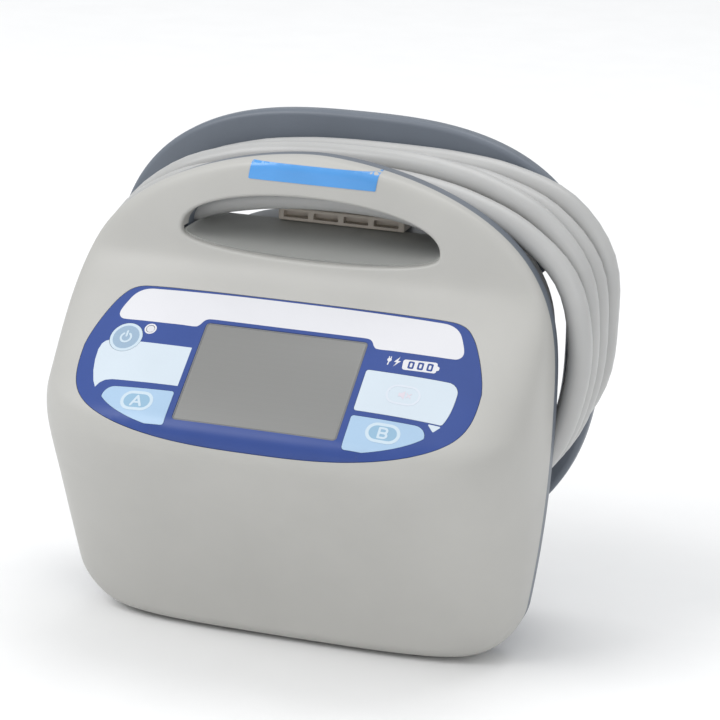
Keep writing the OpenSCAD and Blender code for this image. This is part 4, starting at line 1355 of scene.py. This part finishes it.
def power_prints() -> list[Print]:
    """The ring, the shaded middle and the power symbol.

    Returns:
        Name, drawing, ink and layer of each print.
    """
    u, v = DRAWINGS.power_at
    arc = bow(u, v - 0.1, 1.9, 1.9, np.linspace(0.62, 2 * math.pi - 0.62, 26))
    symbol = stroke(arc, 0.75) + stroke([(u, v + 0.5), (u, v + 2.5)], 0.75)
    middle = circle((u, v), 4.9, 40)
    return [
        ("power_middle", Drawing([middle]), POWER_SHADE, 1),
        ("power_ring", Drawing([circle((u, v), 5.95, 48)], [middle]), KEY_RING, 1),
        ("power_symbol", Drawing(symbol), KEY_RING, 2),
    ]


def mute_prints() -> list[Print]:
    """The faint ring and the loudspeaker of the mute key.

    Returns:
        Name, drawing, ink and layer of each print.
    """
    u, v = DRAWINGS.mute_at
    outer, middle = rounded_rect(11.9, 7.9, 3.9, (u, v)), rounded_rect(10.4, 6.4, 3.1, (u, v))
    steps = [(-1.6, -0.7), (-0.7, -0.7), (0.5, -1.7), (0.5, 1.7), (-0.7, 0.7), (-1.6, 0.7)]
    horn = np.array([(u + across, v + up) for across, up in steps])
    cross = []
    for rise in (0.8, -0.8):
        cross += stroke([(u + 1.2, v - rise), (u + 2.6, v + rise)], 0.4)
    return [
        ("mute_ring", Drawing([outer], [middle]), MUTE_RING, 1),
        ("mute_symbol", Drawing([horn, *cross]), MUTE_TINT, 1),
    ]


# ---------------------------------------------------------------- shells


@dataclass
class FrontCover:
    """The light front shell with its panel pocket and finger opening."""

    columns: int = 170
    rows: int = 190
    lip_round: float = 1.3
    pocket_d: float = 0.8
    collar_t: float = 2.4

    def grip_cutter(self) -> bpy.types.Object:
        """A plug through the finger opening that flares at the front, which rounds its rim."""
        rings = [(self.lip_round + 0.02, 3.0)]
        for k in range(7):
            t = math.pi / 2 * (1 - k / 6)
            rings.append((self.lip_round * (1 - math.cos(t)), -self.lip_round * (1 - math.sin(t))))
        points = []
        for grow, out in rings:
            ring = GRIP.outline(grow)
            points.extend(housing_point(ring[:, 0], FORM.front(ring[:, 0], ring[:, 1]) - out, ring[:, 1]))
        ring = GRIP.outline(0.0)
        points.extend(housing_point(ring[:, 0], np.full(len(ring), 6.0), ring[:, 1]))
        count = len(ring)
        faces = ring_faces(count, len(rings) + 1)
        faces += cap_faces([(ring, 0)], flipped=True)
        faces += cap_faces([(ring, len(rings) * count)], flipped=False)
        return piece("grip_cut", points, faces, COVER)

    def build(self) -> None:
        """Makes the shell."""
        cover = piece("cover_shell", *FORM.solid(0.0, FORM.lip, self.columns, self.rows), COVER)
        cavity = piece("cavity", *FORM.solid(FORM.wall, FORM.lip + 1, 90, 100), COVER)
        arch = GRIP.outline(self.collar_t)
        arch = arch[arch[:, 1] >= GRIP.middle - 0.01]
        combine(cavity, [plate("collar", arch, upright, (-30, 5), COVER)], "DIFFERENCE")
        pocket = slab_mesh(Drawing([DRAWINGS.overlay(0.2)]), PANEL.on_surface, -self.pocket_d, 4.0, 2.2)
        windows = slab_mesh(Drawing(DRAWINGS.windows(0.3)), PANEL.on_surface, -8.0, 1.0, 3.0)
        tools = [
            cavity, piece("pocket", *pocket, COVER), piece("windows", *windows, COVER), self.grip_cutter(),
        ]
        combine(cover, tools, "DIFFERENCE")
        shade(cover, 32)
        attach(cover, CASING, "cover", "front_cover")
        self.label()

    def label(self) -> None:
        """A plain blue label on the bar above the finger opening."""
        outline = softened(np.array([[23.2, 163.5], [23.9, 169.0], [-21.2, 169.0], [-22.0, 163.5]]), 0.4)

        def on_bar(x: Array, z: Array, above: Array) -> Array:
            """A point just in front of the bar."""
            return housing_point(x, FORM.front(x, z) - above, z)

        points, faces = slab_mesh(Drawing([outline]), on_bar, -0.05, 0.2, 0.8)
        attach(piece("plain_label", points, faces, LABEL_BLUE, 50), CASING, "cover")


@dataclass
class FingerTray:
    """The moulded scoop from the opening's lower rim up to the deck."""

    front: float = -3.8
    back: float = 24.6
    gap: float = 0.5
    thickness: float = 2.2
    deck: float = 142.2
    columns: int = 72
    rows: int = 24

    def build(self) -> None:
        """Makes the tray."""
        half = GRIP.half_width - self.gap
        x = -half * np.cos(np.linspace(0, math.pi, self.columns))[None, :]
        r = np.linspace(0, 1, self.rows)[:, None]
        lip = GRIP.lip(x * 0.999, self.gap)
        top = lip + (self.deck - lip) * (1 - (1 - r) ** 1.25)
        y = np.broadcast_to(self.front + (self.back - self.front) * r, top.shape)
        x = np.broadcast_to(x, top.shape)
        upper = housing_point(x.ravel(), y.ravel(), top.ravel())
        lower = housing_point(x.ravel(), y.ravel(), top.ravel() - self.thickness)
        count, across = x.size, self.columns
        faces = []
        for i in range(self.rows - 1):
            for c in range(across - 1):
                a = i * across + c
                faces.append((a, a + 1, a + across + 1, a + across))
                faces.append((a + count, a + across + count, a + across + 1 + count, a + 1 + count))
        last = (self.rows - 1) * across
        for c in range(across - 1):
            faces.append((c, c + count, c + 1 + count, c + 1))
            faces.append((last + c, last + c + 1, last + c + 1 + count, last + c + count))
        for i in range(self.rows - 1):
            a, b = i * across, i * across + across - 1
            faces.append((a, a + across, a + across + count, a + count))
            faces.append((b, b + count, b + across + count, b + across))
        tray = piece("finger_tray", np.concatenate([upper, lower]), faces, TRAY, 40)
        attach(tray, CASING, "tray", "handle_tray")


@dataclass
class RearHousing:
    """The slate rear shell: rim, neck for the hose, and base block."""

    rim: tuple[float, float] = (0.9, 7.3)
    rim_inset: float = 0.2
    neck_half: float = 63.0
    neck: tuple[float, float] = (64.0, 142.2)
    corner_top: float = 42.0
    corner_low: float = 36.0
    web: float = 3.6
    neck_back: float = 42.0
    base_half: float = 62.0
    base_h: float = 30.0
    base_back: float = 44.4
    fan_at: tuple[float, float] = (30.0, 100.0)
    tray_seat: float = 133.4
    tray_back: float = 24.6
    screws: tuple[tuple[float, float], ...] = ((-72, 26), (72, 26), (-58, 127), (58, 127))

    def neck_outline(self) -> Array:
        """The neck's outline, counter-clockwise."""
        corners = [
            (1, 1, self.corner_top, 0), (-1, 1, self.corner_top, 90),
            (-1, -1, self.corner_low, 180), (1, -1, self.corner_low, 270),
        ]
        points = []
        for sx, sz, radius, start in corners:
            cx = sx * (self.neck_half - radius)
            cz = self.neck[1] - radius if sz > 0 else self.neck[0] + radius
            for t in np.radians(np.linspace(start, start + 90, 24)):
                points.append((cx + radius * math.cos(t), cz + radius * math.sin(t)))
        return np.array(points)

    def rim_outline(self, inward: float) -> Array:
        """The cover's outline inset, counter-clockwise."""
        z = FORM.heights(inward, 150)
        x = FORM.width_at(z, inward)
        return np.concatenate([np.stack([x, z], -1), np.stack([-x, z], -1)[::-1]])

    def build(self) -> None:
        """Makes the shell."""
        outline = self.rim_outline(self.rim_inset)
        shell = plate("rear_shell", outline, upright, self.rim, HOUSING, 0.0, 1.2)
        neck_span, base_span = (self.web, self.neck_back), (self.web, self.base_back)
        neck = plate("neck", self.neck_outline(), upright, neck_span, HOUSING, 0, 2.0)
        base = rounded_rect(2 * self.base_half, self.base_h, 0.8, (0, self.base_h / 2))
        combine(shell, [neck, plate("base", base, upright, base_span, HOUSING, 0, 2.5)], "UNION")
        combine(shell, self.cutters(), "DIFFERENCE")
        shade(shell, 32)
        attach(shell, CASING, "housing", "rear_housing")
        self.lugs()

    def cutters(self) -> list[bpy.types.Object]:
        """The openings: finger opening, tray seat, vents, inlet and screw seats."""
        window = GRIP.outline(0.4)
        window = np.stack([window[:, 0], np.maximum(window[:, 1], self.tray_seat)], -1)
        keep = np.concatenate([[True], np.linalg.norm(np.diff(window, axis=0), axis=1) > 1e-6])
        tools = [plate("window_cut", window[keep], upright, (-2, 8.5), HOUSING)]
        seat = rounded_rect(94, 9.4, 0.2, (0, self.tray_seat + 4.7))
        tools.append(plate("seat_cut", seat, upright, (-1, self.tray_back), HOUSING))
        for i in range(-3, 4):
            slot = rounded_rect(2.4, 30, 1.1, (self.fan_at[0] + i * 5, self.fan_at[1]))
            tools.append(plate("vent_cut", slot, upright, (self.neck_back - 4, self.neck_back + 1), HOUSING))
        for at in self.screws:
            tools.append(plate("screw_cut", circle(at, 2.8, 32), upright, (5.7, 8.3), HOUSING))
        mouth = rounded_rect(23, 17, 0.6, (25, 14.5))
        tools.append(plate("inlet_cut", mouth, sideways, (-65, -42), HOUSING))
        return tools

    def lugs(self) -> None:
        """The four lugs that hold the hook's pin."""
        for index, x in enumerate((-49.4, -24.0, 24.0, 49.4)):
            t = np.radians(np.linspace(-90, 90, 17))
            nose = np.stack([47.4 + 4 * np.cos(t), 128 + 4 * np.sin(t)], -1)
            outline = np.concatenate([nose, [[41.5, 132.0], [41.5, 124.0]]])
            lug = plate(f"pin_lug_{index + 1}", outline, sideways, (x - 2.5, x + 2.5), HOUSING, 0.5, 0.5)
            attach(lug, CASING, "housing")


@dataclass
class RearGuard:
    """The broad ring behind the hose with its four spokes."""

    half_width: float = 93.4
    middle: float = 99.3
    up: float = 79.2
    down: float = 84.0
    band: float = 15.0
    side_band: float = 12.8
    full_up: float = 2.72
    full_down: float = 2.41
    front: float = 44.5
    back: float = 52.0
    neck_back: float = 42.0
    spokes: tuple = (((52, 116), (80, 142)), ((51.5, 80), (82, 63)))

    def build(self) -> None:
        """Makes the ring, the spokes and their posts."""
        shift = np.array([0, self.middle])
        outer = oval(self.half_width, self.up, self.down, self.full_up, self.full_down, 240) + shift
        inner = oval(
            self.half_width - self.side_band, self.up - self.band, self.down - self.band,
            self.full_up, self.full_down, 240,
        ) + shift
        band = moulded_plate([outer, inner[::-1]], upright, self.front, self.back, 2.2, 2.2, 6)
        ring = piece("guard_ring", *band, HOUSING)
        arm_span, post_span = (self.front + 0.05, self.back - 2), (self.neck_back, self.front + 1)
        tools = []
        for side in Side:
            for near, far in self.spokes:
                ends = np.array([near, far], float) * np.array([side.value, 1])
                foot = circle(tuple(ends[0]), 4.0, 40)
                tools.append(plate("arm", softened(ends, 4.5), upright, arm_span, HOUSING, 1.0, 1.4))
                tools.append(plate("post", foot, upright, post_span, HOUSING))
        combine(ring, tools, "UNION")
        shade(ring, 32)
        attach(ring, CASING, "housing", "rear_guard")


@dataclass
class BedHook:
    """The sprung hook on the back, with its two coil springs."""

    y: float = 47.4
    hinge_z: float = 128.0
    half_width: float = 46.0
    band: float = 10.0
    low: float = 44.0
    thickness: float = 6.0
    barrel_r: float = 4.2
    pin_r: float = 2.05

    def outline(self) -> Array:
        """The U-shaped outline, counter-clockwise."""
        w, b, z, low = self.half_width, self.band, self.hinge_z, self.low
        bend = np.linspace(0, math.pi / 2, 14)
        out = [(w - 16 + 16 * math.cos(t), low + 16 - 16 * math.sin(t)) for t in bend]
        notch_r, drop = 23.0, 20.0
        first = math.atan2(drop, math.sqrt(notch_r**2 - drop**2))
        dip = np.linspace(first, math.pi - first, 18)
        notch = [(notch_r * math.cos(t), low - drop + notch_r * math.sin(t)) for t in dip]
        x0, z0 = w - 18, low + 18
        inner = [(-x0 - 8 * math.cos(t), z0 - 8 * math.sin(t)) for t in np.linspace(0, math.pi / 2, 8)]
        points = [(w, z), *out, *notch, *[(-x, y) for x, y in reversed(out)], (-w, z), (b - w, z)]
        points += inner + [(-x, y) for x, y in reversed(inner)] + [(w - b, z)]
        return np.array(points)[::-1]

    def build(self) -> None:
        """Makes the hook and the springs."""
        span = self.y - self.thickness / 2, self.y + self.thickness / 2
        hook = plate("hook_frame", self.outline(), upright, span, HOUSING, 0.8, 1.4)
        tools, bores = [], []
        for side in Side:
            x = side.value * (self.half_width - self.band / 2)
            half, r = self.band / 2, self.barrel_r
            profile = [(-half, r - 0.6), (-half + 0.6, r), (half - 0.6, r), (half, r - 0.6)]
            tools.append(piece("barrel", *turned(profile, 0, (x, self.y, self.hinge_z)), HOUSING))
            bore = [(-half - 1, self.pin_r), (half + 1, self.pin_r)]
            bores.append(piece("bore", *turned(bore, 0, (x, self.y, self.hinge_z)), HOUSING))
        combine(hook, tools, "UNION")
        combine(hook, bores, "DIFFERENCE")
        shade(hook, 32)
        attach(hook, "bed_hook", "housing", "bed_hook")
        self.springs()

    def springs(self) -> None:
        """The two wound springs on the pin, as one piece."""
        curls, wire, radius, length, reach = 4, 0.55, 3.1, 6.5, 14.0
        points, faces = [], []
        for side in Side:
            coil = []
            for i in range(curls * 24 + 1):
                t = math.radians(180 + 15 * i)
                coil.append((length * i / (curls * 24), radius * math.cos(t), -radius * math.sin(t)))
            upper = [(0, -radius, z) for z in (reach, 8, 3)]
            lower = [(length, -radius - off, z) for off, z in ((0.3, -4), (0.5, -9), (0.5, -reach))]
            line = np.array([*upper, *coil, *lower], float)
            line[:, 0] = (line[:, 0] + 28) * side.value
            line[:, 1] += self.y
            line[:, 2] += self.hinge_z
            made, quads = swept((line + HOUSING_SHIFT) * MM, wire * MM, 10)
            first = len(points)
            points.extend(made)
            faces.extend(tuple(first + i for i in f) for f in quads)
        attach(piece("hook_coils", points, faces, STEEL, 50), CASING, "steel", "hook_springs")


# ---------------------------------------------------------------- studio


@dataclass(frozen=True)
class Studio:
    """Floor, lights and the camera at the photograph's angle."""

    frame_px: int = 720
    focal_px: float = 2830.0
    target_px: tuple[float, float] = (309.0, 396.7)
    target: tuple[float, float, float] = (0.0, 0.005165, 0.0862)
    distance: float = 1.0
    azimuth: float = 18.15
    elevation: float = 17.14
    roll: float = 1.92
    sensor: float = 36.0

    def camera(self) -> None:
        """Makes the camera; its shift puts the target where the photograph has it."""
        data = bpy.data.cameras.new("photo_camera")
        camera = bpy.data.objects.new("photo_camera", data)
        bpy.context.scene.collection.objects.link(camera)
        data.sensor_width = self.sensor
        data.lens = self.sensor * self.focal_px / self.frame_px
        centre = self.frame_px / 2
        data.shift_x = (centre - self.target_px[0]) / self.frame_px
        data.shift_y = (self.target_px[1] - centre) / self.frame_px
        data.clip_start, data.clip_end = 0.05, 30
        a, e = math.radians(self.azimuth), math.radians(self.elevation)
        back = Vector((math.sin(a) * math.cos(e), -math.cos(a) * math.cos(e), math.sin(e)))
        camera.location = Vector(self.target) + back * self.distance
        turn = Matrix.Rotation(math.radians(self.roll), 4, back)
        camera.matrix_world = (
            Matrix.Translation(camera.location) @ turn @ (-back).to_track_quat("-Z", "Y").to_matrix().to_4x4()
        )
        bpy.context.scene.camera = camera

    def floor(self) -> None:
        """A wide pale floor with a soft rise far behind the object."""
        rows = []
        for k in range(17):
            t = math.radians(90 * k / 16)
            rows.append((6.0 + 2.0 * math.sin(t), 2.0 * (1 - math.cos(t))))
        profile = [(-6.0, 0.0), (0.0, 0.0), *rows, (8.0, 6.0)]
        points = [(x, y, z) for y, z in profile for x in (-9.0, 9.0)]
        faces = [(2 * i, 2 * i + 1, 2 * i + 3, 2 * i + 2) for i in range(len(profile) - 1)]
        paper = Finish("studio_paper", (243, 243, 243), 0.85, 0.004, Grain.SMOOTH, 0.002, specular=0.2)
        piece("studio_floor", points, faces, paper, 60)

    def area(self, name: str, place: Sequence[float], size: float, energy: float) -> None:
        """A square soft light that faces the object."""
        data = bpy.data.lights.new(name, "AREA")
        data.shape = "SQUARE"
        data.size = size
        data.energy = energy
        lamp = bpy.data.objects.new(name, data)
        bpy.context.scene.collection.objects.link(lamp)
        lamp.location = place
        lamp.rotation_euler = (Vector(self.target) - Vector(place)).to_track_quat("-Z", "Y").to_euler()

    def lights(self) -> None:
        """A large key light from the upper left, a weak fill, and an even pale surround."""
        self.area("key_light", (-1.5, -1.6, 2.4), 1.6, 42.0)
        self.area("top_light", (0.3, 0.6, 2.6), 1.8, 22.0)
        self.area("fill_light", (2.2, -1.8, 1.0), 1.6, 8.0)
        world = bpy.data.worlds.new("studio_surround")
        world.use_nodes = True
        world.node_tree.nodes["Background"].inputs["Color"].default_value = (0.97, 0.985, 1.0, 1.0)
        world.node_tree.nodes["Background"].inputs["Strength"].default_value = 0.72
        bpy.context.scene.world = world
        bpy.context.scene.view_settings.view_transform = "Standard"
        bpy.context.scene.view_settings.look = "None"


def dress_nodes(nodes: dict[str, bpy.types.Object]) -> None:
    """Gives every CAD node that still shows its finish.

    Args:
        nodes: The frame's nodes by name.
    """
    for name, finish in NODE_FINISHES.items():
        shown = nodes[name]
        shown.data.materials.clear()
        shown.data.materials.append(finish.build())


def corners(box: tuple[Vector, Vector]) -> list[list[float]]:
    """A box as two plain lists."""
    return [list(box[0]), list(box[1])]


def main() -> None:
    """Builds the looks round the frame, in order."""
    logging.basicConfig(level=logging.INFO, format="%(name)s: %(message)s")
    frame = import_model()
    for default in ("Cube", "Light", "Camera"):
        if default in bpy.data.objects:
            bpy.data.objects.remove(bpy.data.objects[default])
    studio = Studio()
    studio.camera()
    SleevePlug().build()
    WoundHose().build()
    FrontCover().build()
    panel = ControlPanel()
    panel.build()
    d = DRAWINGS
    keys = [
        PanelKey("power_key", d.power_key(), d.power_at, KEY_RING, "pale_key", power_prints()),
        PanelKey("mute_key", d.mute_key(), d.mute_at, FIELD_PALE, "pale_key", mute_prints()),
        PanelKey(
            "key_a", d.letter_key(Side.LEFT), (-d.letter_at[0], d.letter_at[1]), FIELD_BLUE, "blue_key",
            letter_prints(Side.LEFT),
        ),
        PanelKey(
            "key_b", d.letter_key(Side.RIGHT), d.letter_at, FIELD_BLUE, "blue_key",
            letter_prints(Side.RIGHT),
        ),
    ]
    for key in keys:
        key.build(panel)
    FingerTray().build()
    RearHousing().build()
    RearGuard().build()
    BedHook().build()
    dress_nodes(frame["nodes"])
    studio.floor()
    studio.lights()


if __name__ == "__main__":
    main()
